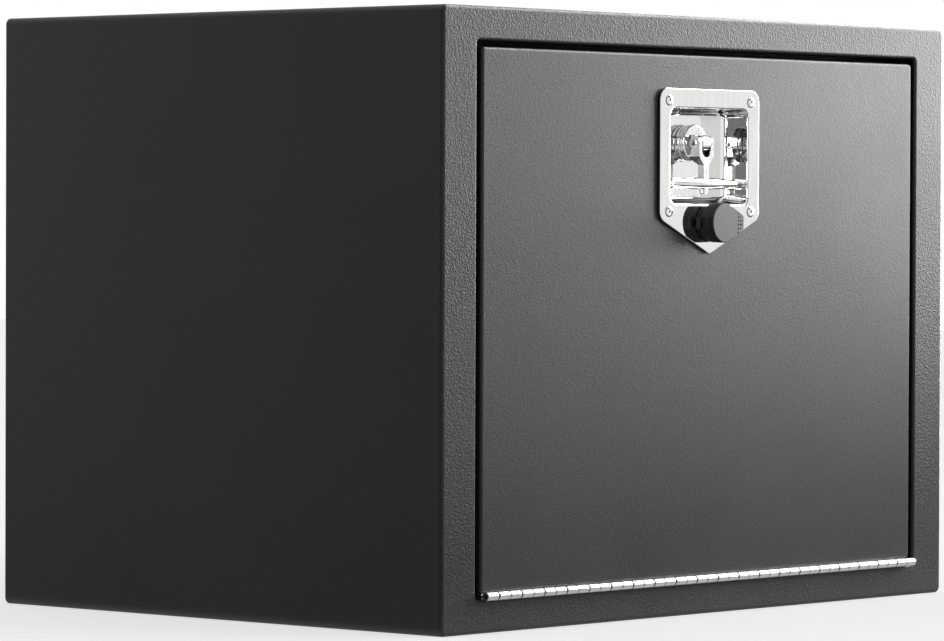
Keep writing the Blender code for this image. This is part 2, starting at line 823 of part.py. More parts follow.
def make_cam(steel, spindle):
    """The arm behind the keeper. Its square heel is what the lock's tongue blocks."""
    side, heel = CAM_WIDTH / 2, CAM_HEEL
    outline = [
        (-heel, HUB_Z - heel),
        (heel, HUB_Z - heel),
        (heel, HUB_Z + heel),
        (side, HUB_Z + 2 * heel),
        (side, HUB_Z + CAM_REACH),
        (-side, HUB_Z + CAM_REACH),
        (-side, HUB_Z + 2 * heel),
        (-heel, HUB_Z + heel),
    ]
    cam = piece("latch_cam", prism(outline, CAM_FRONT, CAM_BACK), steel, spindle)
    fit = CAM_SEAT + GAP
    cut(cam, helper("cam_hole", box_of(
        (-fit, CAM_FRONT - OVERRUN, HUB_Z - fit),
        (fit, CAM_BACK + OVERRUN, HUB_Z + fit),
    )))
    seat = CAM_BACK + GAP
    make_nut("cam_nut", NUT_RADIUS, THREAD_RADIUS, seat, NUT_HEIGHT, HUB_Z, steel, spindle)


def make_handle(steel, handle):
    """The folding T: a forked end on the spindle's lug, a shank and a tapered bar."""
    half = LUG_WIDTH / 2 + GAP
    outline = arc((PIVOT_Y, HUB_Z), CHEEK_RADIUS, 0, 180, BEND_STEPS * 3)
    low = HUB_Z - CLEVIS_LENGTH
    outline += [(PIVOT_Y - CHEEK_RADIUS, low), (PIVOT_Y + CHEEK_RADIUS, low)]
    side = half + CHEEK_WIDTH
    grip = piece("t_handle", prism_along_x(outline, -side, side), steel, handle, round_piece=True)
    slot = box_of(
        (-half, PIVOT_Y - CHEEK_RADIUS - OVERRUN, HUB_Z - CLEVIS_SLOT),
        (half, PIVOT_Y + CHEEK_RADIUS + OVERRUN, HUB_Z + CHEEK_RADIUS + OVERRUN),
    )
    cut(grip, helper("fork_slot", slot))
    shank = box_of(
        (-SHANK_WIDTH / 2, BAR_Y - SHANK_DEPTH / 2, BAR_Z),
        (SHANK_WIDTH / 2, BAR_Y + SHANK_DEPTH / 2, HUB_Z - CLEVIS_SLOT - CHEEK_WIDTH / 2),
    )
    join(grip, helper("shank", shank))
    end = BAR_LENGTH / 2
    middle = SHANK_WIDTH
    tip = BAR_END_RADIUS - BAR_END_ROUND
    bar = turned([
        (0, -end), (tip, -end), (BAR_END_RADIUS, BAR_END_ROUND - end),
        (BAR_MIDDLE_RADIUS, -middle), (BAR_MIDDLE_RADIUS, middle),
        (BAR_END_RADIUS, end - BAR_END_ROUND), (tip, end), (0, end),
    ], SMALL_ROUND_STEPS)
    join(grip, helper("bar", moved(along_x(bar), (0, BAR_Y, BAR_Z))))
    tail = rod(TAIL_RADIUS, -BAR_MIDDLE_RADIUS - TAIL_LENGTH, 0)
    join(grip, helper("tail", moved(along_z(tail), (0, BAR_Y, BAR_Z))))
    cut(grip, handle_pin_hole("cheek_bore", HANDLE_PIN_RADIUS + GAP))
    reach = side + HANDLE_PIN_PROUD
    pin = ring(HANDLE_PIN_RADIUS, HANDLE_PIN_BORE, -reach, reach, SMALL_ROUND_STEPS)
    pin = moved(along_x(pin), (0, PIVOT_Y, HUB_Z))
    piece("handle_pin", pin, steel, handle, round_piece=True)


# Key lock

def make_lock(steel, door, plug_carrier):
    """The housing through the plate and the door, its nut, its plug and the plug's tongue."""
    front = PLATE_FRONT - GAP - LOCK_FLANGE_HEIGHT
    back = TONGUE_FRONT - GAP
    housing = turned([
        (PLUG_RADIUS + GAP, front),
        (LOCK_FLANGE_RADIUS, front),
        (LOCK_FLANGE_RADIUS, PLATE_FRONT - GAP),
        (LOCK_BARREL_RADIUS, PLATE_FRONT - GAP),
        (LOCK_BARREL_RADIUS, back),
        (PLUG_RADIUS + GAP, back),
    ])
    piece("lock_housing", housing, steel, door, round_piece=True, place=(0, 0, LOCK_Z))
    seat = FRONT + SHEET + GAP
    make_nut("lock_nut", LOCK_NUT_RADIUS, LOCK_BARREL_RADIUS, seat, LOCK_NUT_HEIGHT, LOCK_Z, steel, door)
    face = front + PLUG_FACE_RECESS
    stub = TONGUE_BACK - GAP
    depth = stub - TONGUE_SCREW_DEPTH
    body = turned([
        (0, face), (PLUG_RADIUS, face), (PLUG_RADIUS, back),
        (TONGUE_SEAT, back), (TONGUE_SEAT, stub), (0, stub),
    ], ROUND_STEPS)
    plug = piece("lock_plug", body, steel, plug_carrier, round_piece=True, place=(0, 0, LOCK_Z))
    keyway = box_of(
        (-KEYWAY_WIDTH / 2, face - OVERRUN, LOCK_Z - KEYWAY_HEIGHT / 2),
        (KEYWAY_WIDTH / 2, face + KEYWAY_DEPTH, LOCK_Z + KEYWAY_HEIGHT / 2),
    )
    cut(plug, helper("keyway", keyway))
    screw_bore = helper("screw_bore", rod(TONGUE_SCREW_SHANK + GAP, depth, stub + OVERRUN))
    screw_bore.location = (0, 0, LOCK_Z)
    cut(plug, screw_bore)
    half = TONGUE_WIDTH / 2
    bar = box_of(
        (-TONGUE_REACH, TONGUE_FRONT, LOCK_Z - half),
        (half, TONGUE_BACK, LOCK_Z + half),
    )
    tongue = piece("lock_tongue", bar, steel, plug_carrier)
    drill(tongue, "tongue_hole", TONGUE_SEAT + GAP, 0, LOCK_Z, TONGUE_FRONT, TONGUE_BACK)
    head = TONGUE_BACK + GAP
    screw = turned([
        (0, depth + GAP), (TONGUE_SCREW_SHANK, depth + GAP), (TONGUE_SCREW_SHANK, head),
        (TONGUE_SCREW_RADIUS, head), (TONGUE_SCREW_RADIUS, head + TONGUE_SCREW_HEIGHT),
        (0, head + TONGUE_SCREW_HEIGHT),
    ], SMALL_ROUND_STEPS)
    piece("tongue_screw", screw, steel, plug_carrier, round_piece=True, place=(0, 0, LOCK_Z))


# Weather cap

def ear(low, high, radius):
    """A short upright cylinder on the cap's hinge axis."""
    return moved(along_z(rod(radius, low, high)), (-CAP_AXIS_OUT, CAP_AXIS_Y, LOCK_Z))


def make_cap_ring(rubber, door):
    """The ring under the cap, with the two ears that hold the cap's pin."""
    front = PLATE_FRONT - GAP - RING_HEIGHT
    back = PLATE_FRONT - GAP
    flat = ring(RING_RADIUS, RING_BORE, front, back)
    body = piece("cap_ring", flat, rubber, door, round_piece=True, place=(0, 0, LOCK_Z))
    inner = (RING_RADIUS + RING_BORE) / 2
    for side, word in ((-1, "lower"), (1, "upper")):
        near = side * (EAR_HEIGHT / 2 + GAP)
        low, high = sorted((near, near + side * FORK_HEIGHT))
        arm = box_of(
            (-CAP_AXIS_OUT, front + GAP, LOCK_Z + low + GAP),
            (-inner, back - GAP, LOCK_Z + high - GAP),
        )
        join(body, helper(f"fork_arm_{word}", arm))
        join(body, helper(f"fork_ear_{word}", ear(low, high, EAR_RADIUS)))
    span = EAR_HEIGHT / 2 + FORK_HEIGHT + 2 * GAP
    cut(body, helper("fork_bore", ear(-span - OVERRUN, span + OVERRUN, CAP_PIN_RADIUS + GAP)))
    piece("cap_pin", ear(-span, span, CAP_PIN_RADIUS), rubber, door, round_piece=True)


def make_cap(rubber, cap):
    """A cup over the lock, with a rib and an ear at its hinge and a thumb tab across from them."""
    front = PLATE_FRONT - CAP_LENGTH
    back = PLATE_FRONT - GAP - RING_HEIGHT - GAP
    inner = CAP_RADIUS - CAP_WALL
    body = turned([
        (0, front + CAP_WALL), (inner, front + CAP_WALL), (inner, back), (CAP_RADIUS, back),
        (CAP_RADIUS, front + CAP_EDGE), (CAP_RADIUS - CAP_EDGE, front), (0, front),
    ])
    cup = piece("weather_cap", body, rubber, cap, round_piece=True, place=(0, 0, LOCK_Z))
    root = -(CAP_RADIUS - CAP_WALL / 2)
    half = EAR_HEIGHT / 2
    join(cup, helper("cap_ear", ear(-half, half, EAR_RADIUS)))
    web = box_of(
        (-CAP_AXIS_OUT, CAP_AXIS_Y - EAR_RADIUS + GAP, LOCK_Z - half + GAP),
        (root, back - GAP, LOCK_Z + half - GAP),
    )
    join(cup, helper("cap_web", web))
    rib = box_of(
        (root - RIB_DEPTH, CAP_AXIS_Y - EAR_RADIUS - GAP - RIB_LENGTH, LOCK_Z - RIB_HEIGHT / 2),
        (root, CAP_AXIS_Y - EAR_RADIUS - GAP, LOCK_Z + RIB_HEIGHT / 2),
    )
    join(cup, helper("cap_rib", rib))
    tab = filleted([
        (CAP_RADIUS - CAP_WALL / 2, LOCK_Z - TAB_HEIGHT / 2 + CAP_WALL, CAP_EDGE),
        (CAP_RADIUS + TAB_REACH, LOCK_Z - TAB_TIP_HEIGHT / 2, CAP_WALL),
        (CAP_RADIUS + TAB_REACH, LOCK_Z + TAB_TIP_HEIGHT / 2, CAP_WALL),
        (CAP_RADIUS - CAP_WALL / 2, LOCK_Z + TAB_HEIGHT / 2 - CAP_WALL, CAP_EDGE),
    ])
    join(cup, helper("cap_tab", prism(tab, front + CAP_EDGE + GAP, front + CAP_EDGE + TAB_THICKNESS)))
    cut(cup, helper("cap_bore", ear(-half - OVERRUN, half + OVERRUN, CAP_PIN_RADIUS + GAP)))


# Cable eyes

def make_eye(name, wall, side, y, z, paint, carried_by=None):
    """An angle whose foot lies on an upright wall and whose ear, with a hole, points inward."""
    inner = wall - side * EYE_SHEET
    tip = wall - side * EYE_REACH
    back = y + EYE_FOOT
    outline = [
        (wall, y), (inner, y), (inner, back - EYE_SHEET),
        (tip, back - EYE_SHEET), (tip, back), (wall, back),
    ]
    angle = piece(name, prism_along_z(outline, z, z + EYE_HEIGHT), paint, carried_by)
    middle = z + EYE_HEIGHT / 2
    drill(angle, f"{name}_hole", EYE_BORE, (inner + tip) / 2, middle, back - EYE_SHEET, back)


def make_eyes(paint, door):
    for side, word in ((-1, "left"), (1, "right")):
        wall = side * (BOX_WIDTH / 2 - SHEET - GAP)
        y = FRONT + FRAME_RIM + FRAME_LAP + EYE_SETBACK
        make_eye(f"frame_cable_eye_{word}", wall, side, y, FRAME_EYE_RISE, paint)
        edge = side * (DOOR_WIDTH / 2 - SHEET - GAP)
        y = FRONT + SHEET + GAP
        make_eye(f"door_cable_eye_{word}", edge, side, y, DOOR_LOW + DOOR_EYE_RISE, paint, door)


def build():
    clear_scene()
    paint = finish("black_powder_coat", (0.035, 0.035, 0.037), 0.55, 0.0)
    polished = finish("polished_stainless", (0.78, 0.78, 0.77), 0.12, 1.0)
    hinge_steel = finish("stainless_hinge", (0.70, 0.70, 0.69), 0.30, 1.0)
    plated = finish("zinc_plated_steel", (0.52, 0.52, 0.50), 0.40, 1.0)
    rubber = finish("black_rubber", (0.025, 0.025, 0.026), 0.75, 0.0)
    door = carrier("door", (0, HINGE_Y, HINGE_Z))
    spindle = carrier("spindle_turn", (0, HUB_BACK, HUB_Z), door)
    handle = carrier("handle_fold", (0, PIVOT_Y, HUB_Z), spindle)
    plug = carrier("plug_turn", (0, PLATE_FRONT, LOCK_Z), door)
    cap = carrier("cap_swing", (-CAP_AXIS_OUT, CAP_AXIS_Y, LOCK_Z), door)
    make_wrapper(paint)
    make_back_panel(paint)
    make_front_frame(paint)
    make_door_seal(rubber)
    make_keeper(plated)
    make_hinge(hinge_steel, door)
    panel = make_door_panel(paint, door)
    make_stiffeners(paint, door)
    plate = make_latch_plate(polished, door)
    gasket = make_gasket(rubber, door)
    make_plate_rivets(polished, door, (plate, gasket, panel))
    make_cutouts(plate, gasket, panel)
    make_bearing(polished, door)
    make_spindle(polished, spindle)
    make_cam(plated, spindle)
    make_handle(polished, handle)
    make_lock(polished, door, plug)
    make_cap_ring(rubber, door)
    make_cap(rubber, cap)
    make_eyes(paint, door)


build()
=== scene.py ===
# %% [markdown]
# # Underbody truck tool box
# A welded sheet steel box that hangs on the side of a truck, with a door that drops open,
# a folding T-handle latch in a sunk dish and a key lock under a rubber cap. Blender could
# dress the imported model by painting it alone, but its bends and rounds are coarse facets.
# So this lesson builds each piece again, finer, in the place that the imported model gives.

import json
import math

import bmesh
import bpy
from mathutils import Matrix, Vector


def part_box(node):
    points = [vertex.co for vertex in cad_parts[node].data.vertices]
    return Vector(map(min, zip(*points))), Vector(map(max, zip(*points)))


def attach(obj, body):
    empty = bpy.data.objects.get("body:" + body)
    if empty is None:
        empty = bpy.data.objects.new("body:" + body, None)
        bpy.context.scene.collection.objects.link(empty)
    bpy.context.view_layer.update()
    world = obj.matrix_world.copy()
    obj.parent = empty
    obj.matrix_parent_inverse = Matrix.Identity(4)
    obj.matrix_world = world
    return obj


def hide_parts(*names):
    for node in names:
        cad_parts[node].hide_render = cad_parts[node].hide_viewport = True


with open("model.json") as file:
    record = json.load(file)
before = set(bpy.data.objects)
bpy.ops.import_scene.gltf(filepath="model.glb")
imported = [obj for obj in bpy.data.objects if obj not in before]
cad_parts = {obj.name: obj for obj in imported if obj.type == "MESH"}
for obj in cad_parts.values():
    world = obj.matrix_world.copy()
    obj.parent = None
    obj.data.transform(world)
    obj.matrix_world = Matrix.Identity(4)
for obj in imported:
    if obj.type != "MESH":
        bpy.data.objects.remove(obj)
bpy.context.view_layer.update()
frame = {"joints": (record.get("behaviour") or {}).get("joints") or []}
scene = bpy.context.scene
MM = 0.001


def brief(*numbers):
    """Numbers rounded for printing."""
    return [round(number, 4) for number in numbers]


# %% [markdown]
# ## Camera
# The photograph looks at the box from its left front, level and from far off. The place,
# the turn and the lens come from the six outer corners of the box in the photograph.
# They could be set by eye, but a fit to the corners lets every piece be compared.

# %% Place the camera
AZIMUTH = math.radians(48.614)
ELEVATION = math.radians(1.195)
ROLL = math.radians(0.21)
DISTANCE = 3.998
ASIDE = -0.0085
RAISED = 0.2211
FOCAL_PIXELS = 5013.5
IMAGE_WIDTH = 944
SENSOR = 36.0

towards = Vector((
    -math.sin(AZIMUTH) * math.cos(ELEVATION),
    -math.cos(AZIMUTH) * math.cos(ELEVATION),
    math.sin(ELEVATION),
))
level = (-towards).cross(Vector((0, 0, 1))).normalized()
upright = level.cross(-towards)
right = level * math.cos(ROLL) + upright * math.sin(ROLL)
up = upright * math.cos(ROLL) - level * math.sin(ROLL)
stand_point = towards * DISTANCE + level * ASIDE + upright * RAISED
turn = Matrix((right, up, towards)).transposed().to_4x4()

lens = bpy.data.cameras.new("photo_camera")
lens.sensor_width = SENSOR
lens.lens = FOCAL_PIXELS / IMAGE_WIDTH * SENSOR
camera = bpy.data.objects.new("photo_camera", lens)
camera.matrix_world = Matrix.Translation(stand_point) @ turn
scene.collection.objects.link(camera)
scene.camera = camera
print("lens", round(lens.lens, 1), "mm at", brief(*camera.location))

# %% [markdown]
# ## Studio
# The real box was shot on white, with a broad lamp at the right that fades down the door,
# thin bright lines where folded edges catch other lamps, and a nearly black left side. The
# world could light everything evenly, but then the door would have no gradient. So the
# world and one soft lamp light all surfaces, and three lamps and five grey screens are
# there for reflections alone: they give the door its fade and the steel its dark parts.

# %% Helpers that add nodes to a tree and wire them

def feed(node, inputs):
    """Wires each input that is given a socket, and sets any other to the value given."""
    for label, value in inputs.items():
        if isinstance(value, bpy.types.NodeSocket):
            node.id_data.links.new(value, node.inputs[label])
        else:
            node.inputs[label].default_value = value
    return node.outputs


def put(tree, kind, inputs=None, **settings):
    """Adds a node with its settings and inputs, and gives its outputs."""
    node = tree.nodes.new(kind)
    for label, value in settings.items():
        setattr(node, label, value)
    return feed(node, inputs or {})


def new_group(name, kind, inputs, outputs):
    """An empty node group and its input sockets, from (label, socket kind, default)."""
    group = bpy.data.node_groups.new(name, kind)
    for label, socket_kind, value in inputs:
        socket = group.interface.new_socket(
            label, in_out="INPUT", socket_type=f"NodeSocket{socket_kind}",
        )
        if value is not None:
            socket.default_value = value
    for label, socket_kind in outputs:
        group.interface.new_socket(
            label, in_out="OUTPUT", socket_type=f"NodeSocket{socket_kind}",
        )
    return group, put(group, "NodeGroupInput")


# %% World: white to the eye and to reflections, a soft fill to the rest
scene.view_settings.view_transform = "Standard"
FILL = 0.38
WHITE = (1, 1, 1, 1)


def seen_directly(tree):
    """One for what the camera, a reflection or a clear body sees, and zero for other light."""
    path = put(tree, "ShaderNodeLightPath")
    total = path["Is Camera Ray"]
    for label in ("Is Glossy Ray", "Is Transmission Ray"):
        total = put(tree, "ShaderNodeMath", {0: total, 1: path[label]}, operation="MAXIMUM")[0]
    return total


world = bpy.data.worlds.new("white_studio")
world.use_nodes = True
scene.world = world
strength = put(world.node_tree, "ShaderNodeMapRange", {
    "Value": seen_directly(world.node_tree), "To Min": FILL, "To Max": 1.0,
})
feed(world.node_tree.nodes["Background"], {"Color": WHITE, "Strength": strength["Result"]})
print("world fill", FILL)

# %% Lamps: a soft one for the whole box, and three that only gloss shows
# Each lamp: its place, what it points at, its size, its radiance and if gloss alone sees it.
LAMPS = {
    "soft_lamp": ((1.6, -2.6, 2.2), (0.0, 0.0, 0.23), (1.8, 1.4), 1.6, False),
    "gloss_lamp": ((1.13, -0.571, 0.74), (0.1, -0.23, 0.74), (0.765, 0.98), 14.0, True),
    "side_strip": ((1.38, 0.24, 0.62), (0.0, -0.22, 0.62), (0.35, 1.1), 52.0, True),
    "top_strip": ((1.15, -0.6, 1.62), (0.0, -0.22, 0.43), (0.8, 0.4), 26.0, True),
}
for name, (place, aim, size, radiance, gloss_only) in LAMPS.items():
    light = bpy.data.lights.new(name, "AREA")
    light.shape = "RECTANGLE"
    light.size, light.size_y = size
    light.energy = radiance * math.pi * light.size * light.size_y
    lamp = bpy.data.objects.new(name, light)
    lamp.location = place
    lamp.rotation_euler = (Vector(aim) - lamp.location).to_track_quat("-Z", "Y").to_euler()
    lamp.visible_camera = False
    lamp.visible_diffuse = not gloss_only
    lamp.visible_glossy = gloss_only
    scene.collection.objects.link(lamp)
    print(name, round(light.energy, 1), "W")

# %% Floor and screens
FLOOR_HALF = 8.0
FLOOR_GREY = 0.85
FLOOR_GLOW = 0.56
SCREEN_HEIGHT = 1.5
SCREEN_LIFT = 0.004
SCREEN_BASE = 0.01


def flat_sheet(name, corners, material):
    data = bpy.data.meshes.new(name)
    data.from_pydata(corners, [], [(0, 1, 2, 3)])
    data.materials.append(material)
    sheet = bpy.data.objects.new(name, data)
    scene.collection.objects.link(sheet)
    return sheet


def standing(first, last):
    """Corners of an upright screen between two points of the floor."""
    return [(*first, 0), (*last, 0), (*last, SCREEN_HEIGHT), (*first, SCREEN_HEIGHT)]


def lying(low, high, z):
    """Corners of a level sheet."""
    return [(*low, z), (high[0], low[1], z), (*high, z), (low[0], high[1], z)]


def plain(name, grey, glow):
    """A matt material with one even grey and a glow, for the stage alone."""
    made = bpy.data.materials.new(name)
    made.use_nodes = True
    feed(made.node_tree.nodes["Principled BSDF"], {
        "Base Color": (grey, grey, grey, 1), "Roughness": 1.0, "Specular IOR Level": 0.0,
        "Emission Color": WHITE, "Emission Strength": glow,
    })
    return made


pale = plain("pale_floor", FLOOR_GREY, 0.0)
glow = put(pale.node_tree, "ShaderNodeMath", {
    0: seen_directly(pale.node_tree), 1: FLOOR_GLOW,
}, operation="MULTIPLY")
feed(pale.node_tree.nodes["Principled BSDF"], {"Emission Strength": glow[0]})
flat_sheet("floor", lying((-FLOOR_HALF, -FLOOR_HALF), (FLOOR_HALF, FLOOR_HALF), 0), pale)

# Each screen: how bright it looks in a reflection, and its corners.
SCREENS = {
    "screen_left": (0.42, standing((-1.5, -0.1), (-1.0, 0.94))),
    "screen_near_left": (0.25, standing((-1.2, -1.3), (-1.5, -0.1))),
    "screen_below": (0.04, lying((-1.2, -0.64), (1.8, -0.3), SCREEN_LIFT)),
    "screen_below_left": (0.32, lying((-1.6, -0.3), (-0.31, 1.2), SCREEN_LIFT)),
    "screen_above": (0.1, lying((-1.5, -2.6), (2.2, -1.2), 1.3)),
}
for name, (grey, corners) in SCREENS.items():
    screen = flat_sheet(name, corners, plain(name, SCREEN_BASE, grey))
    screen.visible_camera = False
    screen.visible_diffuse = False
    screen.visible_shadow = False

# %% [markdown]
# ## Finishes
# Powder coat is paint baked from dust, so it has a fine orange-peel grain, a little coarser
# on the frame. The latch is polished stainless steel with faint lines from the polishing
# wheel, the hinge is rolled stainless, the parts inside are zinc plated, and the cap is
# moulded rubber. Two finishes are painted shade: a near-black dull coat on the frame's faces
# deep in the narrow gaps round the door, and a near-black hinge pin seen only in the slits.
# Two finishes are guesses, for places that look black in the photograph: a thin dull coat in
# narrow gaps, which less powder reaches, and a greased hinge pin. Each could be one flat
# colour with one roughness, but then it would look like plastic. Two node groups give relief
# and tone, and each finish sets its own numbers.

# %% Node groups: grain in all directions, and lines that run one way
PATTERN = [("Height", "Float"), ("Tone", "Float")]


def mixed(tree, first, second, share):
    """Two values, the second weighed by a share and the first by the rest."""
    return put(tree, "ShaderNodeMix", {"Factor": share, "A": first, "B": second})["Result"]


def noise(tree, vector, scale, detail):
    return put(tree, "ShaderNodeTexNoise", {
        "Vector": vector, "Scale": scale, "Detail": detail,
    })["Fac"]


def make_grain():
    """Fine noise and soft cells for the relief, with slow clouds in the tone."""
    group, given = new_group("orange_peel", "ShaderNodeTree", [
        ("Scale", "Float", 900.0), ("Clouds", "Float", 7.0),
    ], PATTERN)
    place = put(group, "ShaderNodeTexCoord")["Object"]
    fine = noise(group, place, given["Scale"], 2.0)
    cells = put(group, "ShaderNodeTexVoronoi", {
        "Vector": place, "Scale": given["Scale"], "Smoothness": 0.6,
    }, feature="SMOOTH_F1")["Distance"]
    clouds = noise(group, place, given["Clouds"], 3.0)
    put(group, "NodeGroupOutput", {
        "Height": mixed(group, fine, cells, 0.35), "Tone": mixed(group, clouds, fine, 0.35),
    })
    return group


def make_lines():
    """Noise drawn out along the axis with the smallest number, with waves between."""
    group, given = new_group("polishing_lines", "ShaderNodeTree", [
        ("Along X", "Float", 30.0), ("Along Y", "Float", 900.0), ("Along Z", "Float", 900.0),
        ("Clouds", "Float", 40.0),
    ], PATTERN)
    place = put(group, "ShaderNodeTexCoord")["Object"]
    axes = put(group, "ShaderNodeCombineXYZ", {axis: given[f"Along {axis}"] for axis in "XYZ"})
    drawn = put(group, "ShaderNodeVectorMath", {
        0: place, 1: axes["Vector"],
    }, operation="MULTIPLY")
    fine = noise(group, drawn["Vector"], 1.0, 3.0)
    waves = noise(group, place, given["Clouds"], 1.0)
    put(group, "NodeGroupOutput", {
        "Height": mixed(group, fine, waves, 0.6), "Tone": mixed(group, fine, waves, 0.4),
    })
    return group


grain = make_grain()
lines = make_lines()
print("groups", grain.name, lines.name)

# %% One recipe that wires a group into a finish
TONE_LOW, TONE_HIGH = 0.3, 0.7


def finish(name, group, scales, dark, light, gloss, relief, metallic, specular):
    """A finish whose tone and gloss follow the group's tone, and its relief the height."""
    made = bpy.data.materials.new(name)
    made.use_nodes = True
    tree = made.node_tree
    pattern = put(tree, "ShaderNodeGroup", dict(enumerate(scales)), node_tree=group)
    ramp = tree.nodes.new("ShaderNodeValToRGB")
    stops = zip(ramp.color_ramp.elements, (dark, light), (TONE_LOW, TONE_HIGH))
    for stop, tone, position in stops:
        stop.position = position
        stop.color = (*tone, 1)
    colour = feed(ramp, {"Fac": pattern["Tone"]})
    roughness = put(tree, "ShaderNodeMapRange", {
        "Value": pattern["Tone"], "From Min": TONE_LOW, "From Max": TONE_HIGH,
        "To Min": gloss[0], "To Max": gloss[1],
    })
    bump = put(tree, "ShaderNodeBump", {"Distance": relief * MM, "Height": pattern["Height"]})
    feed(tree.nodes["Principled BSDF"], {
        "Base Color": colour["Color"], "Roughness": roughness["Result"],
        "Normal": bump["Normal"], "Metallic": metallic, "Specular IOR Level": specular,
    })
    return made


# Each finish: its group and the group's scales, its darkest and lightest tone, its least and
# most roughness, its relief in mm, how metallic it is, and its specular level.
COAT = (0.015, 0.015, 0.016), (0.025, 0.025, 0.026), (0.39, 0.49)
FINISHES = {
    "powder_coat": (grain, (900, 9), *COAT, 0.24, 0.0, 0.36),
    "coarse_coat": (grain, (620, 9), *COAT, 0.42, 0.0, 0.36),
    # Painted shade: a near-black, non-metallic finish for the hinge pin, which shows only in the
    # slits between knuckles.
    "greased_steel": (
        grain, (640, 90), (0.010, 0.010, 0.010), (0.020, 0.020, 0.019), (0.45, 0.60),
        0.02, 0.0, 0.15,
    ),
    "thin_coat": (
        # Painted shade: a near-black dull finish for the frame's faces deep in the narrow gaps
        # round the door.
        grain, (640, 9), (0.004, 0.004, 0.004), (0.007, 0.007, 0.007), (0.70, 0.85),
        0.20, 0.0, 0.10,
    ),
    "polished_steel": (
        lines, (300, 300, 26, 55), (0.76, 0.76, 0.75), (0.82, 0.82, 0.81), (0.02, 0.05),
        0.02, 1.0, 0.5,
    ),
    "satin_steel": (
        grain, (420, 90), (0.64, 0.64, 0.63), (0.78, 0.78, 0.77), (0.08, 0.14),
        0.03, 1.0, 0.5,
    ),
    "hinge_steel": (
        lines, (60, 1600, 1600, 90), (0.48, 0.48, 0.47), (0.60, 0.60, 0.59), (0.30, 0.42),
        0.03, 1.0, 0.5,
    ),
    "plated_steel": (
        grain, (260, 60), (0.46, 0.46, 0.44), (0.60, 0.60, 0.57), (0.30, 0.48),
        0.04, 1.0, 0.5,
    ),
    "rubber": (
        grain, (1500, 80), (0.016, 0.016, 0.017), (0.028, 0.028, 0.029), (0.50, 0.66),
        0.06, 0.0, 0.4,
    ),
    # Painted sheen: a mid grey for the cap's front faces, standing in for the lamp's sheen on black
    # rubber.
    "cap_face_rubber": (
        grain, (1800, 120), (0.15, 0.15, 0.15), (0.19, 0.19, 0.19), (0.50, 0.62),
        0.04, 0.0, 0.45,
    ),
}
finishes = {name: finish(name, *numbers) for name, numbers in FINISHES.items()}
print("finishes", *finishes)

# %% [markdown]
# ## Tools for the pieces
# Sheet metal is flat areas joined by bends, so most pieces are a row of outlines bridged
# one after another, with an arc of outlines at each bend. Turned pieces, such as the hub,
# are a profile spun about an axis. Blender's own Spin would leave a seam to merge, so the
# rings are written by a formula. Flat areas keep flat shading by weighted normals.

# %% Outlines
CORNER_STEPS = 10
BEND_STEPS = 8
ROUND_STEPS = 64


def arc(centre, radius, start, end, steps=BEND_STEPS):
    """Points on an arc in a plane, with angles in degrees."""
    points = []
    for i in range(steps + 1):
        angle = math.radians(start + (end - start) * i / steps)
        x, y = radius * math.cos(angle), radius * math.sin(angle)
        points.append((centre[0] + x, centre[1] + y))
    return points


def rounded(width, low, high, radius, steps=CORNER_STEPS):
    """Outline of a rectangle with round corners, centred on x, between two heights."""
    side = width / 2 - radius
    corners = (
        (side, low + radius, -90), (side, high - radius, 0),
        (-side, high - radius, 90), (-side, low + radius, 180),
    )
    points = []
    for x, z, start in corners:
        points += arc((x, z), radius, start, start + 90, steps)
    return points


def filleted(corners, steps=CORNER_STEPS):
    """An outline through corners of (x, z, radius), each rounded by its own radius."""
    points = []
    for i, (x, z, radius) in enumerate(corners):
        here = Vector((x, z))
        back = (Vector(corners[i - 1][:2]) - here).normalized()
        ahead = (Vector(corners[(i + 1) % len(corners)][:2]) - here).normalized()
        half = back.angle(ahead) / 2
        centre = here + (back + ahead).normalized() * radius / math.sin(half)
        start = here + back * radius / math.tan(half) - centre
        end = here + ahead * radius / math.tan(half) - centre
        first = math.degrees(math.atan2(start.y, start.x))
        swing = math.degrees(math.atan2(start.cross(end), start.dot(end)))
        points += arc(centre, radius, first, first + swing, steps)
    return points


def mirrored(half):
    """Half a profile of (radius, y) and its image, with a point at y zero kept once."""
    return half + [(radius, -y) for radius, y in half[::-1] if y]


def at_depth(outline, y):
    return [(x, y, z) for x, z in outline]


# %% Lofts, prisms and turned solids

def loft(loops, ringed=False):
    """Bridges loops of equal count. A ringed loft joins its ends, and any other is capped."""
    mesh = bmesh.new()
    rows = [[mesh.verts.new(point) for point in loop] for loop in loops]
    pairs = list(zip(rows, rows[1:]))
    if ringed:
        pairs.append((rows[-1], rows[0]))
    for first, second in pairs:
        for i in range(len(first)):
            k = (i + 1) % len(first)
            mesh.faces.new((first[i], first[k], second[k], second[i]))
    if not ringed:
        mesh.faces.new(rows[0][::-1])
        mesh.faces.new(rows[-1])
    bmesh.ops.recalc_face_normals(mesh, faces=mesh.faces)
    return mesh


def prism(outline, front, back):
    """An outline in x and z, made solid between two depths."""
    return loft([at_depth(outline, front), at_depth(outline, back)])


def prism_along_x(outline, left, right):
    """An outline in y and z, made solid between two sides."""
    return loft([[(x, y, z) for y, z in outline] for x in (left, right)])


def prism_along_z(outline, low, high):
    """An outline in x and y, made solid between two heights."""
    return loft([[(x, y, z) for x, y in outline] for z in (low, high)])


def box_of(low, high):
    """A block between two corners."""
    (x0, y0, z0), (x1, y1, z1) = low, high
    return prism([(x0, z0), (x1, z0), (x1, z1), (x0, z1)], y0, y1)


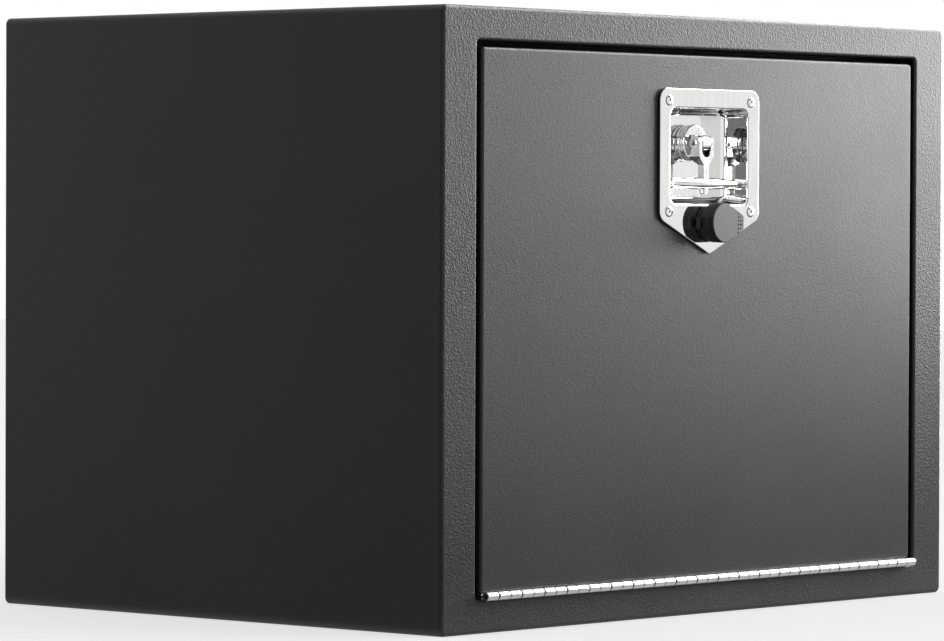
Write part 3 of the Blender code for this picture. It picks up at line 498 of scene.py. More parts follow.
def turned(profile, z=0, steps=ROUND_STEPS, x=0):
    """A solid turned about an axis along y from (radius, y). A zero radius ends in a point."""
    mesh = bmesh.new()
    rows = []
    for radius, y in profile:
        count = steps if radius else 1
        spokes = [2 * math.pi * i / steps for i in range(count)]
        ring = [(x + radius * math.cos(a), y, z + radius * math.sin(a)) for a in spokes]
        rows.append([mesh.verts.new(point) for point in ring])
    pairs = list(zip(rows, rows[1:]))
    if profile[0][0] and profile[-1][0]:
        pairs.append((rows[-1], rows[0]))
    for first, second in pairs:
        for i in range(steps):
            k = (i + 1) % steps
            corners = [first[i % len(first)], first[k % len(first)]]
            corners += [second[k % len(second)], second[i % len(second)]]
            mesh.faces.new(list(dict.fromkeys(corners)))
    bmesh.ops.recalc_face_normals(mesh, faces=mesh.faces)
    return mesh


def rod(radius, front, back, z=0, steps=ROUND_STEPS, x=0):
    return turned([(0, front), (radius, front), (radius, back), (0, back)], z, steps, x)


def turned_over(mesh, angle, axis, offset):
    """Turns a solid made about the y axis by an angle, and moves it."""
    matrix = Matrix.Rotation(angle, 3, axis)
    bmesh.ops.rotate(mesh, verts=mesh.verts, matrix=matrix)
    bmesh.ops.translate(mesh, verts=mesh.verts, vec=Vector(offset))
    return mesh


def along_x(mesh, *offset):
    return turned_over(mesh, -math.pi / 2, "Z", offset)


def along_z(mesh, *offset):
    return turned_over(mesh, math.pi / 2, "X", offset)


# %% Objects: plain meshes, cuts and joins, and the last touches on a piece

def new_object(name, mesh, material=None):
    data = bpy.data.meshes.new(name)
    mesh.to_mesh(data)
    mesh.free()
    if material:
        data.materials.append(finishes[material])
    obj = bpy.data.objects.new(name, data)
    scene.collection.objects.link(obj)
    return obj


def discarded(obj):
    """Removes a guide, and gives its mesh for other use."""
    mesh = bmesh.new()
    mesh.from_mesh(obj.data)
    data = obj.data
    bpy.data.objects.remove(obj)
    bpy.data.meshes.remove(data)
    return mesh


def made_plain(obj):
    """Turns an object with live modifiers into a plain mesh."""
    graph = bpy.context.evaluated_depsgraph_get()
    evaluated = obj.evaluated_get(graph)
    data = bpy.data.meshes.new_from_object(
        evaluated, preserve_all_data_layers=True, depsgraph=graph,
    )
    spent = obj.data
    obj.modifiers.clear()
    obj.data = data
    bpy.data.meshes.remove(spent)
    data.name = obj.name
    return obj


def cut(mesh):
    return "DIFFERENCE", mesh


def add(mesh):
    return "UNION", mesh


def shaped(obj, *steps):
    """Cuts, joins or crosses an object with guide meshes, in turn, and removes the guides."""
    guides = []
    for operation, mesh in steps:
        guides.append(new_object("guide", mesh))
        modifier = obj.modifiers.new("shape", "BOOLEAN")
        modifier.operation = operation
        modifier.solver = "EXACT"
        modifier.object = guides[-1]
    made_plain(obj)
    for guide in guides:
        discarded(guide).free()
    return obj


def bevelled(obj, width, segments=3, angle=40):
    """Rounds the sharp edges, as filing or paint does."""
    modifier = obj.modifiers.new("edges", "BEVEL")
    modifier.width = width
    modifier.segments = segments
    modifier.limit_method = "ANGLE"
    modifier.angle_limit = math.radians(angle)
    return made_plain(obj)


def dressed(obj, body, slot, *replaced, crease=35):
    """Shades a finished piece, hangs it on its body's empty, and hides the imported parts it stands
    for.
    """
    obj.data.shade_smooth()
    obj.data.set_sharp_from_angle(angle=math.radians(crease))
    weights = obj.modifiers.new("flat_areas", "WEIGHTED_NORMAL")
    weights.keep_sharp = True
    weights.weight = 100
    made_plain(obj)
    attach(obj, body)
    if replaced:
        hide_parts(*replaced)
    print(obj.name, "on", body, len(obj.data.polygons), "faces")
    return obj


# %% [markdown]
# ## Box shell
# The top, sides and bottom are one sheet folded into a tube. It could be a cube with the
# Solidify modifier, but a real fold keeps the sheet's thickness round its corners. So
# Geometry Nodes sweep the sheet's cross-section round a rounded rectangle. The same tree
# makes the rubber seal, because it too is one profile that runs round a rectangle.

# %% Sizes of the shell: sheet, gaps and bends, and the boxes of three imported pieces
SHEET = 1.9 * MM
CORNER_RADIUS = 5 * MM
DOOR_SIDE_GAP = 5 * MM
DOOR_TOP_GAP = 4.5 * MM
FRAME_RIM = 6 * MM
FRAME_LAP = 14 * MM
FRAME_RAIL = 25 * MM
STOP_LIP = 13 * MM
SHEET_BEND = 3 * MM
DOOR_BEND = 2.5 * MM
OPENING_RADIUS = 3 * MM
EDGE_ROUND = 0.7 * MM
GAP = 0.3 * MM
# How deep in the gaps round the door the painted shade on the frame begins.
PAINTED_SHADE_FROM = 5 * MM

shell_low, shell_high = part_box("body_wrapper")
frame_low, frame_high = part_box("front_frame")
door_low, door_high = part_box("door_panel")
WIDTH = shell_high.x - shell_low.x
HEIGHT = shell_high.z
FRONT, BACK = frame_low.y, shell_high.y
LIP_BACK = frame_high.y
LAP = SHEET + GAP
OPENING_WIDTH = door_high.x - door_low.x + 2 * DOOR_SIDE_GAP
OPENING_LOW, OPENING_HIGH = FRAME_RAIL, door_high.z + DOOR_TOP_GAP
print("shell", brief(WIDTH, BACK - FRONT, HEIGHT), "opening", brief(OPENING_WIDTH))

# %% A tree that sweeps a profile round a rounded rectangle
GEOMETRY_IN, GEOMETRY_OUT = ("Geometry", "Geometry", None), ("Geometry", "Geometry")


def ended(tree, given, geometry):
    """Every tree ends in Realize Instances and Set Material, so that it gives a plain mesh with its
    finish.
    """
    real = put(tree, "GeometryNodeRealizeInstances", {"Geometry": geometry})
    painted = put(tree, "GeometryNodeSetMaterial", {
        "Geometry": real["Geometry"], "Material": given["Finish"],
    })
    put(tree, "NodeGroupOutput", {"Geometry": painted["Geometry"]})
    return tree


def make_sweep_tree():
    tree, given = new_group("sweep_round_rectangle", "GeometryNodeTree", [
        GEOMETRY_IN, ("Width", "Float", 0.5), ("Height", "Float", 0.4),
        ("Corner Radius", "Float", 0.01), ("Corner Steps", "Int", 8),
        ("Middle Height", "Float", 0.2), ("Finish", "Material", None),
    ], [GEOMETRY_OUT])
    path = put(tree, "GeometryNodeCurvePrimitiveQuadrilateral", {
        "Width": given["Width"], "Height": given["Height"],
    })
    corners = put(tree, "GeometryNodeFilletCurve", {
        "Curve": path["Curve"], "Radius": given["Corner Radius"],
        "Count": given["Corner Steps"],
    }, mode="POLY")
    profile = put(tree, "GeometryNodeMeshToCurve", {"Mesh": given["Geometry"]})
    sweep = put(tree, "GeometryNodeCurveToMesh", {
        "Curve": corners["Curve"], "Profile Curve": profile["Curve"],
    })
    lift = put(tree, "ShaderNodeCombineXYZ", {"Z": given["Middle Height"]})
    stood = put(tree, "GeometryNodeTransform", {
        "Geometry": sweep["Mesh"], "Translation": lift["Vector"],
        "Rotation": (math.pi / 2, 0, 0),
    })
    return ended(tree, given, stood["Geometry"])


def grown(obj, group, finish_name, values, unit=None):
    """Runs a tree on an object, and keeps a plain mesh. The unit is what the tree repeats."""
    values = {**values, "Finish": finishes[finish_name]}
    if unit is not None:
        values["Piece"] = new_object("unit", unit)
    modifier = obj.modifiers.new(group.name, "NODES")
    modifier.node_group = group
    for item in group.interface.items_tree:
        if item.item_type == "SOCKET" and item.in_out == "INPUT" and item.name in values:
            modifier[item.identifier] = values[item.name]
    made_plain(obj)
    if unit is not None:
        discarded(values["Piece"]).free()
    return obj


def closed_line(points):
    """A closed outline of (outward, depth) as a mesh of edges, for a tree to sweep."""
    mesh = bmesh.new()
    corners = [mesh.verts.new((x, y, 0)) for x, y in points]
    for first, second in zip(corners, corners[1:] + corners[:1]):
        mesh.edges.new((first, second))
    return mesh


sweep_tree = make_sweep_tree()
print("tree", sweep_tree.name, len(sweep_tree.nodes), "nodes")

# %% Sweep the wrapper

def swept(name, profile, outset, radius, low, high, width, material):
    """A profile swept round a rectangle that lies outset from a width and two heights."""
    return grown(new_object(name, closed_line(profile)), sweep_tree, material, {
        "Width": width + 2 * outset, "Height": high - low + 2 * outset,
        "Corner Radius": radius, "Corner Steps": CORNER_STEPS,
        "Middle Height": (low + high) / 2,
    })


sheet_edge = [
    (0, FRONT + FRAME_RIM), (0, BACK - EDGE_ROUND),
    *arc((-EDGE_ROUND, BACK - EDGE_ROUND), EDGE_ROUND, 0, 90, 4)[1:],
    (-SHEET, BACK), (-SHEET, FRONT + FRAME_RIM),
]
wrapper = swept(
    "folded_wrapper", sheet_edge, 0, CORNER_RADIUS, 0, HEIGHT, WIDTH, "powder_coat",
)
dressed(wrapper, "box", "powder_coat", "body_wrapper")

# %% Sweep the seal
SEAL_WIDTH = 9 * MM
SEAL_MARGIN = 2 * MM
SEAL_CORNER = 6 * MM

seal_back = LIP_BACK - SHEET - GAP
seal_depth = seal_back - (door_high.y + GAP)
bulb = [(x * SEAL_WIDTH / 2, seal_back - y * seal_depth) for x, y in arc((0, 0), 1, 0, 180, 14)]
seal = swept(
    "door_seal_strip", bulb, -(SEAL_MARGIN + SEAL_WIDTH / 2), SEAL_CORNER,
    OPENING_LOW, OPENING_HIGH, OPENING_WIDTH, "rubber",
)
dressed(seal, "box", "rubber", "door_seal")

# %% [markdown]
# ## Front frame and back panel
# The frame is one sheet pressed round the opening: a rim that laps into the wrapper, the
# flat face, a return and the lip that the seal sits on. Its stiles are wider than its
# rails, so one swept profile can't make it. A loft between rounded rectangles can, with an
# arc of loops at each bend. The back panel is a shallow tray made in the same way.

# %% Loft the frame

def shell_loop(inset, y):
    radius = max(CORNER_RADIUS - inset, MM)
    return at_depth(rounded(WIDTH - 2 * inset, inset, HEIGHT - inset, radius), y)


def opening_loop(outset, y):
    radius = max(OPENING_RADIUS + outset, 2 * MM)
    width, low, high = OPENING_WIDTH + 2 * outset, OPENING_LOW - outset, OPENING_HIGH + outset
    return at_depth(rounded(width, low, high, radius), y)


def bent(loop, radius, front, start=90, end=0, steps=BEND_STEPS):
    """Loops round a bend that turns a front face, at a depth, into a side."""
    return [
        loop(radius - out, front + radius - y) for out, y in arc((0, 0), radius, start, end, steps)
    ]


lap_end = FRONT + FRAME_RIM + FRAME_LAP
lip_front = LIP_BACK - SHEET
loops = [
    shell_loop(LAP, lap_end), shell_loop(LAP, FRONT + FRAME_RIM),
    shell_loop(0, FRONT + FRAME_RIM), *bent(shell_loop, SHEET_BEND, FRONT, 0, 90),
    *bent(opening_loop, DOOR_BEND, FRONT), opening_loop(0, lip_front),
    opening_loop(-STOP_LIP, lip_front), opening_loop(-STOP_LIP, LIP_BACK),
    opening_loop(SHEET, LIP_BACK), opening_loop(SHEET, FRONT + SHEET_BEND),
    opening_loop(SHEET_BEND, FRONT + SHEET), shell_loop(LAP + SHEET_BEND, FRONT + SHEET),
    shell_loop(LAP + SHEET, FRONT + SHEET_BEND), shell_loop(LAP + SHEET, lap_end),
]
front_frame = new_object("pressed_frame", loft(loops, ringed=True), "coarse_coat")
# The frame's faces deep in the gaps round the door take the near-black finish, as painted shade.
front_frame.data.materials.append(finishes["thin_coat"])
for face in front_frame.data.polygons:
    x, y, z = face.center
    in_shaded_gap = abs(x) < OPENING_WIDTH / 2 + MM and OPENING_LOW - MM < z < OPENING_HIGH + MM
    face.material_index = int(in_shaded_gap and y > FRONT + PAINTED_SHADE_FROM)
dressed(front_frame, "box", "powder_coat", "front_frame")

# %% Loft the back panel
BACK_FLANGE = 15 * MM

back_bend = arc((0, 0), SHEET_BEND, 90, 0)
loops = [shell_loop(LAP + SHEET_BEND - out, BACK - SHEET_BEND + y) for out, y in back_bend]
loops += [
    shell_loop(LAP, BACK - BACK_FLANGE), shell_loop(LAP + SHEET, BACK - BACK_FLANGE),
    shell_loop(LAP + SHEET, BACK - SHEET_BEND), shell_loop(LAP + SHEET_BEND, BACK - SHEET),
]
dressed(new_object("back_tray", loft(loops), "powder_coat"), "box", "powder_coat", "back_panel")

# %% [markdown]
# ## Door
# The door is a shallow tray that opens inward, so its edges look thick and its corners are
# soft. It could be a plate with the Bevel modifier, but then the inside would be solid.
# The loft has both skins. Boolean cuts make the holes for the dish, the lock and the rivets.

# %% Sizes and places on the door
DOOR_CORNER = 3.5 * MM
DISH_WIDTH = 95 * MM
DISH_HEIGHT = 72.5 * MM
DISH_DROP = 15 * MM
DISH_CORNER = 7 * MM
PLATE_SHEET = 1.2 * MM
CUTOUT_CLEARANCE = 1 * MM
OVERRUN = 6 * MM
RIVET_SPACING_X = 99.5 * MM
RIVET_SPACING_Z = 84.5 * MM
RIVET_DROP = 9.2 * MM
RIVET_SHANK = 1.6 * MM
HUB_DROP = 41 * MM
LOCK_DROP = 102 * MM
LOCK_BARREL = 9.2 * MM

plate_low, plate_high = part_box("latch_plate")
PLATE_TOP, PLATE_FRONT = plate_high.z, plate_low.y
HUB_Z, LOCK_Z = PLATE_TOP - HUB_DROP, PLATE_TOP - LOCK_DROP
DISH_HIGH = PLATE_TOP - DISH_DROP
DISH_LOW = DISH_HIGH - DISH_HEIGHT
DOOR_WIDTH = door_high.x - door_low.x
RIVET_LOW = PLATE_TOP - RIVET_DROP - RIVET_SPACING_Z
print("hub at", brief(HUB_Z), "lock at", brief(LOCK_Z), "door", brief(DOOR_WIDTH), "wide")

# %% Loft the door and cut its holes

def door_loop(inset, y):
    radius = max(DOOR_CORNER - inset, MM / 2)
    width, low, high = DOOR_WIDTH - 2 * inset, door_low.z + inset, door_high.z - inset
    return at_depth(rounded(width, low, high, radius), y)


def dish_loop(grow, y):
    radius = max(DISH_CORNER + grow, MM / 2)
    return at_depth(rounded(DISH_WIDTH + 2 * grow, DISH_LOW - grow, DISH_HIGH + grow, radius), y)


def rivet_holes(front, back):
    return [
        cut(rod(RIVET_SHANK + GAP, front, back, z, 24, side * RIVET_SPACING_X / 2))
        for z in (RIVET_LOW, RIVET_LOW + RIVET_SPACING_Z) for side in (-1, 1)
    ]


def door_holes():
    """What the door and the gasket leave free for the dish, the lock and the rivets."""
    front, back = FRONT - OVERRUN, FRONT + SHEET + OVERRUN
    cutout = PLATE_SHEET + CUTOUT_CLEARANCE
    return [
        cut(loft([dish_loop(cutout, front), dish_loop(cutout, back)])),
        cut(rod(LOCK_BARREL + GAP, front, back, LOCK_Z)), *rivet_holes(front, back),
    ]


loops = bent(door_loop, DOOR_BEND, FRONT) + [
    door_loop(0, door_high.y), door_loop(SHEET, door_high.y),
    door_loop(SHEET, FRONT + DOOR_BEND), door_loop(DOOR_BEND, FRONT + SHEET),
]
door = shaped(new_object("door_tray", loft(loops), "powder_coat"), *door_holes())
dressed(door, "door", "powder_coat", "door_panel")

# %% [markdown]
# ## Hinge
# A continuous hinge is two thin leaves whose edges are curled round one long pin, in turns:
# every second knuckle belongs to the frame. Forty-one knuckles could be modelled with the
# Array modifier, but Geometry Nodes place one knuckle in rows and columns with named
# inputs, and the same tree later sets the rivets and the dots on the cap's tab.

# %% A tree that repeats a piece in columns and rows, and joins it to the start mesh

def joined_to_start(tree, given, pieces):
    """The last nodes of a tree that joins pieces to the mesh it was given."""
    union = tree.nodes.new("GeometryNodeMeshBoolean")
    union.operation = "UNION"
    union.solver = "EXACT"
    for part in (given["Geometry"], pieces):
        tree.links.new(part, union.inputs["Mesh 2"])
    return ended(tree, given, union.outputs["Mesh"])


def make_rows_tree():
    tree, given = new_group("columns_and_rows", "GeometryNodeTree", [
        GEOMETRY_IN, ("Piece", "Object", None), ("Columns", "Int", 1), ("Rows", "Int", 1),
        ("First", "Vector", (0, 0, 0)), ("Column Step", "Vector", (0.01, 0, 0)),
        ("Row Step", "Vector", (0, 0, 0.01)), ("Finish", "Material", None),
    ], [GEOMETRY_OUT])
    columns = put(tree, "GeometryNodeMeshLine", {
        "Count": given["Columns"], "Offset": given["Column Step"],
        "Start Location": given["First"],
    })
    rows = put(tree, "GeometryNodeMeshLine", {
        "Count": given["Rows"], "Offset": given["Row Step"],
    })
    grid = put(tree, "GeometryNodeInstanceOnPoints", {
        "Points": rows["Mesh"], "Instance": columns["Mesh"],
    })
    points = put(tree, "GeometryNodeRealizeInstances", {"Geometry": grid["Instances"]})
    piece = put(tree, "GeometryNodeObjectInfo", {"Object": given["Piece"]})
    placed = put(tree, "GeometryNodeInstanceOnPoints", {
        "Points": points["Geometry"], "Instance": piece["Geometry"],
    })
    real = put(tree, "GeometryNodeRealizeInstances", {"Geometry": placed["Instances"]})
    return joined_to_start(tree, given, real["Geometry"])


def repeated(name, start, unit, counts, first, steps, material):
    """A start mesh with a unit repeated on it. The unit is modelled at the origin."""
    return grown(new_object(name, start), rows_tree, material, {
        "Columns": counts[0], "Rows": counts[1], "First": first,
        "Column Step": (steps[0], 0, 0), "Row Step": (0, 0, steps[1]),
    }, unit)


rows_tree = make_rows_tree()
print("tree", rows_tree.name, len(rows_tree.nodes), "nodes")

# %% Two leaves with their knuckles, and the pin
KNUCKLES = 41
BARREL_RADIUS = 3.2 * MM
BARREL_BORE = 1.8 * MM
BARREL_EDGE = 0.5 * MM
SLIT = 1.1 * MM
SLIT_SHIFT = 0.35 * MM
LEAF_SHEET = 1.2 * MM
LEAF_REACH = 16 * MM
PIN_RADIUS = 1.4 * MM
PIN_RECESS = 2 * MM
FINGER_INSET = 0.4 * MM

joints = {joint["name"]: joint for joint in frame["joints"]}
hinge_y, hinge_z = joints["door_hinge"]["pos_m"][1:]
pitch = DOOR_WIDTH / KNUCKLES


def knuckle(leaf_low):
    """One barrel with the finger that joins it to its leaf, centred on the hinge's axis."""
    half = pitch / 2 - SLIT / 2
    profile = [(BARREL_BORE, -half)]
    profile += arc((BARREL_RADIUS - BARREL_EDGE, BARREL_EDGE - half), BARREL_EDGE, -90, 0, 3)
    profile += arc((BARREL_RADIUS - BARREL_EDGE, half - BARREL_EDGE), BARREL_EDGE, 0, 90, 3)
    profile += [(BARREL_BORE, half)]
    barrel = new_object("barrel", along_x(turned(profile, steps=32), 0, 0, 0))
    side, low = half - FINGER_INSET, leaf_low - hinge_z
    near, far = (BARREL_RADIUS + BARREL_BORE) / 2, BARREL_RADIUS + GAP + MM
    return discarded(shaped(barrel, add(box_of((-side, near, low), (side, far, low + LEAF_SHEET)))))


def hinge_leaf(name, node, first, count, body):
    """A leaf with its share of the knuckles. The door's are shifted, so slits alternate."""
    on_door = node == "hinge_door_leaf"
    low = door_low.z - GAP - LEAF_SHEET if on_door else OPENING_LOW + GAP
    half = DOOR_WIDTH / 2
    shoulder = hinge_y + BARREL_RADIUS + GAP
    strip = box_of((-half, shoulder, low), (half, FRONT + LEAF_REACH, low + LEAF_SHEET))
    start = (-half + (first + 0.5) * pitch + SLIT_SHIFT * on_door, hinge_y, hinge_z)
    steps = (2 * pitch, pitch)
    leaf = repeated(name, strip, knuckle(low), (count, 1), start, steps, "hinge_steel")
    return dressed(leaf, body, "hinge_steel", node)


hinge_leaf("leaf_on_frame", "hinge_frame_leaf", 0, KNUCKLES // 2 + 1, "box")
hinge_leaf("leaf_on_door", "hinge_door_leaf", 1, KNUCKLES // 2, "door")
pin_end = DOOR_WIDTH / 2 - PIN_RECESS
pin_profile = mirrored([
    (0, -pin_end), (PIN_RADIUS - BARREL_EDGE, -pin_end), (PIN_RADIUS, BARREL_EDGE - pin_end),
])
pin_mesh = along_x(turned(pin_profile, steps=24), 0, hinge_y, hinge_z)
# The pin's near-black finish is painted shade for the slits it shows through.
dressed(new_object("hinge_rod", pin_mesh, "greased_steel"), "box", "hinge_steel", "hinge_pin")

# %% [markdown]
# ## Latch plate
# One pressing of polished stainless steel: a shield that is square above and pointed
# below, with a deep dish whose edge rolls in softly. A grid with displacement could make
# it, but mirror metal shows every uneven facet. Exact cuts of clean lofts keep the flats flat.

# %% Press the plate
PLATE_SQUARE = 99 * MM
PLATE_POINT = 27 * MM
PLATE_CORNER = 9 * MM
PLATE_TIP = 6 * MM
PLATE_EDGE = 0.5 * MM
DISH_DEPTH = 24.4 * MM
DISH_DRAFT = 1.5 * MM
DISH_EDGE = 2 * MM
DISH_BEND = 5 * MM
SHAFT_RADIUS = 5 * MM

PLATE_WIDTH = plate_high.x - plate_low.x
PLATE_BACK = PLATE_FRONT + PLATE_SHEET
DISH_FLOOR = PLATE_FRONT + DISH_DEPTH
DISH_BACK = DISH_FLOOR + PLATE_SHEET


def plate_outline(inset):
    """The plate's shield: square above, with a blunt point below."""
    half = PLATE_WIDTH / 2
    slope = PLATE_POINT / half
    tip = PLATE_TOP - PLATE_SQUARE - PLATE_POINT + inset * math.hypot(1, slope)
    side, top, radius = half - inset, PLATE_TOP - inset, PLATE_CORNER - inset
    shoulder = tip + side * slope
    return filleted([
        (side, top, radius), (-side, top, radius), (-side, shoulder, radius),
        (0, tip, PLATE_TIP), (side, shoulder, radius),
    ])


def plate_loop(inset, y):
    return at_depth(plate_outline(inset), y)


def dish(sheet, mouth):
    """The dish from its mouth to its floor. A sheet's thickness more gives its outside."""
    made = [dish_loop(DISH_EDGE, mouth)]
    for out, y in arc((0, 0), DISH_EDGE - sheet, 90, 0):
        made.append(dish_loop(DISH_EDGE - out, PLATE_FRONT + DISH_EDGE - y))
    for out, y in arc((0, 0), DISH_BEND + sheet, 0, 90):
        made.append(dish_loop(out - DISH_BEND - DISH_DRAFT, DISH_FLOOR - DISH_BEND + y))
    return loft(made)


loops = bent(plate_loop, PLATE_EDGE, PLATE_FRONT, steps=4) + [plate_loop(0, PLATE_BACK)]
through_plate = PLATE_FRONT - OVERRUN, PLATE_FRONT + OVERRUN
plate = shaped(
    new_object("latch_pressing", loft(loops), "polished_steel"),
    add(dish(PLATE_SHEET, (PLATE_FRONT + PLATE_BACK) / 2)),
    cut(dish(0, PLATE_FRONT - OVERRUN)),
    cut(rod(LOCK_BARREL + GAP, *through_plate, LOCK_Z)),
    cut(rod(SHAFT_RADIUS + GAP, DISH_FLOOR - OVERRUN, DISH_BACK + OVERRUN, HUB_Z)),
    *rivet_holes(*through_plate),
)
dressed(plate, "door", "polished_steel", "latch_plate", crease=25)

# %% Gasket under the plate
GASKET = 0.8 * MM
GASKET_INSET = 0.6 * MM

gasket_mesh = prism(plate_outline(GASKET_INSET), PLATE_BACK + GAP, PLATE_BACK + GAP + GASKET)
gasket = shaped(new_object("plate_gasket", gasket_mesh, "rubber"), *door_holes())
dressed(gasket, "door", "rubber", "latch_gasket")

# %% [markdown]
# ## Rivets
# Four hollow rivets hold the plate. Each has a low button head with a recess where its
# mandrel was. One is turned from a profile, and the tree of rows sets it at four corners.

# %% Turn one rivet and repeat it
HEAD_RADIUS = 4.1 * MM
HEAD_HEIGHT = 1.2 * MM
RECESS_RADIUS = 1.0 * MM
RECESS_FLARE = 1.7 * MM
RECESS_DEPTH = 1.8 * MM
TAIL_RADIUS = 2.6 * MM
TAIL_LENGTH = 3 * MM
TAIL_TAPER = 0.7
FLARE_RISE = 0.95
CROWN_ANGLES = range(30, 91, 6)


def rivet():
    """A button head, its recess, the shank and the set tail, with its seat at y zero."""
    seat = FRONT + SHEET + GAP - (PLATE_FRONT - GAP)
    end, floor = seat + TAIL_LENGTH, RECESS_DEPTH - HEAD_HEIGHT
    spread = [math.radians(degrees) for degrees in CROWN_ANGLES]
    return turned([
        (0, floor), (RECESS_RADIUS, floor), (RECESS_RADIUS, -HEAD_HEIGHT / 2),
        (RECESS_FLARE, -HEAD_HEIGHT * FLARE_RISE),
        *[(HEAD_RADIUS * math.sin(a), -HEAD_HEIGHT * math.cos(a)) for a in spread],
        (RIVET_SHANK, 0), (RIVET_SHANK, seat), (TAIL_RADIUS, seat),
        (TAIL_RADIUS, seat + TAIL_LENGTH * TAIL_TAPER), (TAIL_RADIUS * TAIL_TAPER, end), (0, end),
    ], steps=40)


rivets = repeated(
    "plate_rivets", bmesh.new(), rivet(), (2, 2),
    (-RIVET_SPACING_X / 2, PLATE_FRONT - GAP, RIVET_LOW),
    (RIVET_SPACING_X, RIVET_SPACING_Z), "polished_steel",
)
dressed(
    rivets, "door", "polished_steel", "plate_rivet_upper_left", "plate_rivet_upper_right",
    "plate_rivet_lower_left", "plate_rivet_lower_right",
)

# %% [markdown]
# ## Spindle
# A round hub stands on a collar in the dish and carries a lug for the handle. Behind the
# dish its shaft turns in a bush and ends in a square, the cam and a nut. All are turned
# on a lathe in reality, so they are turned profiles here, with their edges broken.

# %% Collar and bush
COLLAR_RADIUS = 13.6 * MM
COLLAR_HEIGHT = 3.4 * MM
BUSH_RADIUS = 11 * MM
KEEPER_SHEET = 2 * MM
BROKEN_EDGE = 0.45 * MM

collar_front = DISH_FLOOR - GAP - COLLAR_HEIGHT
cam_front = LIP_BACK + 2 * GAP + KEEPER_SHEET


def ring_of(outer, inner, front, back, z):
    """A plain ring with each corner rounded, as tooling leaves it."""
    corners = (outer, front), (outer, back), (inner, back), (inner, front)
    return turned(filleted([(radius, y, BROKEN_EDGE) for radius, y in corners], 4), z)


bore = SHAFT_RADIUS + GAP
collar = ring_of(COLLAR_RADIUS, bore, collar_front, DISH_FLOOR - GAP, HUB_Z)
bush = ring_of(BUSH_RADIUS, bore, DISH_BACK + GAP, cam_front - GAP, HUB_Z)
for mesh, name, material, node in (
    (collar, "hub_collar", "satin_steel", "spindle_collar"),
    (bush, "shaft_bush", "plated_steel", "spindle_bush"),
):
    dressed(new_object(name, mesh, material), "door", "polished_steel", node)

# %% Hub with its lug and shaft
HUB_RADIUS = 14.3 * MM
HUB_HEIGHT = 5.8 * MM
HUB_ROUND = 2 * BROKEN_EDGE
HUB_GROOVE = 0.5 * MM
GROOVE_PLACES = (0.34, 0.66)
GROOVE_SECTION = ((0, -0.7), (1, -0.3), (1, 0.3), (0, 0.7))
LUG_WIDTH = 9.2 * MM
LUG_RADIUS = 6.3 * MM
LUG_ROUND = 5 * MM
LUG_EDGE = 2 * MM
CAM_THICKNESS = 4 * MM
CAM_SEAT = 3.6 * MM
THREAD_RADIUS = 3 * MM
THREAD_PROUD = 1.5 * MM
THREAD_PITCH = 1.0 * MM
THREAD_DEPTH = 0.3 * MM
NUT_HEIGHT = 5 * MM
RUNNING = 0.4 * MM
HANDLE_PIN_RADIUS = 2 * MM

pivot_y = joints["handle_fold"]["pos_m"][1]
hub_back = collar_front - GAP
hub_front = hub_back - HUB_HEIGHT
cam_back = cam_front + CAM_THICKNESS
spindle_end = cam_back + GAP + NUT_HEIGHT + THREAD_PROUD


def thread(radius, start, end, depth):
    """Points of a screw thread's ridges along y."""
    points = []
    for i in range(round((end - start) / THREAD_PITCH)):
        y = start + i * THREAD_PITCH
        points += [(radius - depth, y), (radius, y + THREAD_PITCH / 2)]
    return points + [(radius - depth, end)]


def pin_hole(clearance):
    """A guide for the hole that the handle's pin passes through."""
    reach = LUG_WIDTH + OVERRUN
    hole = rod(HANDLE_PIN_RADIUS + clearance, -reach, reach, steps=32)
    return cut(along_x(hole, 0, pivot_y, HUB_Z))


hub_side = []
for share in GROOVE_PLACES:
    groove = hub_front + HUB_HEIGHT * share
    hub_side += [
        (HUB_RADIUS - HUB_GROOVE * deep, groove + HUB_GROOVE * aside)
        for deep, aside in GROOVE_SECTION
    ]
spindle = new_object("hub_and_shaft", turned([
    (0, hub_front), *arc((HUB_RADIUS - HUB_ROUND, hub_front + HUB_ROUND), HUB_ROUND, -90, 0, 4),
    *hub_side, (HUB_RADIUS, hub_back - BROKEN_EDGE), (HUB_RADIUS - BROKEN_EDGE, hub_back),
    (SHAFT_RADIUS, hub_back), (SHAFT_RADIUS, cam_front - GAP),
    *thread(THREAD_RADIUS, cam_front - GAP, spindle_end, THREAD_DEPTH), (0, spindle_end),
], HUB_Z), "satin_steel")
lug_root = hub_front + HUB_HEIGHT / 2
lug_front = pivot_y - LUG_RADIUS
lug_outline = filleted([
    (lug_front, HUB_Z + LUG_RADIUS, LUG_ROUND), (lug_front, HUB_Z - LUG_RADIUS, LUG_ROUND),
    (lug_root, HUB_Z - LUG_RADIUS, MM / 2), (lug_root, HUB_Z + LUG_RADIUS, MM / 2),
])
lug = new_object("lug", prism_along_x(lug_outline, -LUG_WIDTH / 2, LUG_WIDTH / 2))
shaped(
    spindle,
    add(discarded(bevelled(lug, LUG_EDGE, 4))),
    add(box_of(
        (-CAM_SEAT, cam_front - GAP - SHAFT_RADIUS, HUB_Z - CAM_SEAT),
        (CAM_SEAT, cam_back - GAP, HUB_Z + CAM_SEAT),
    )),
    pin_hole(RUNNING),
)
dressed(spindle, "latch_spindle", "polished_steel", "spindle")

# %% Cam and nuts
CAM_WIDTH = 15 * MM
CAM_HEEL = 11 * MM
CAM_CORNER = 2 * MM
NUT_RADIUS = 8.5 * MM
LOCK_NUT_RADIUS = 13.5 * MM
LOCK_NUT_HEIGHT = 3.5 * MM
NUT_CHAMFER = 0.8 * MM


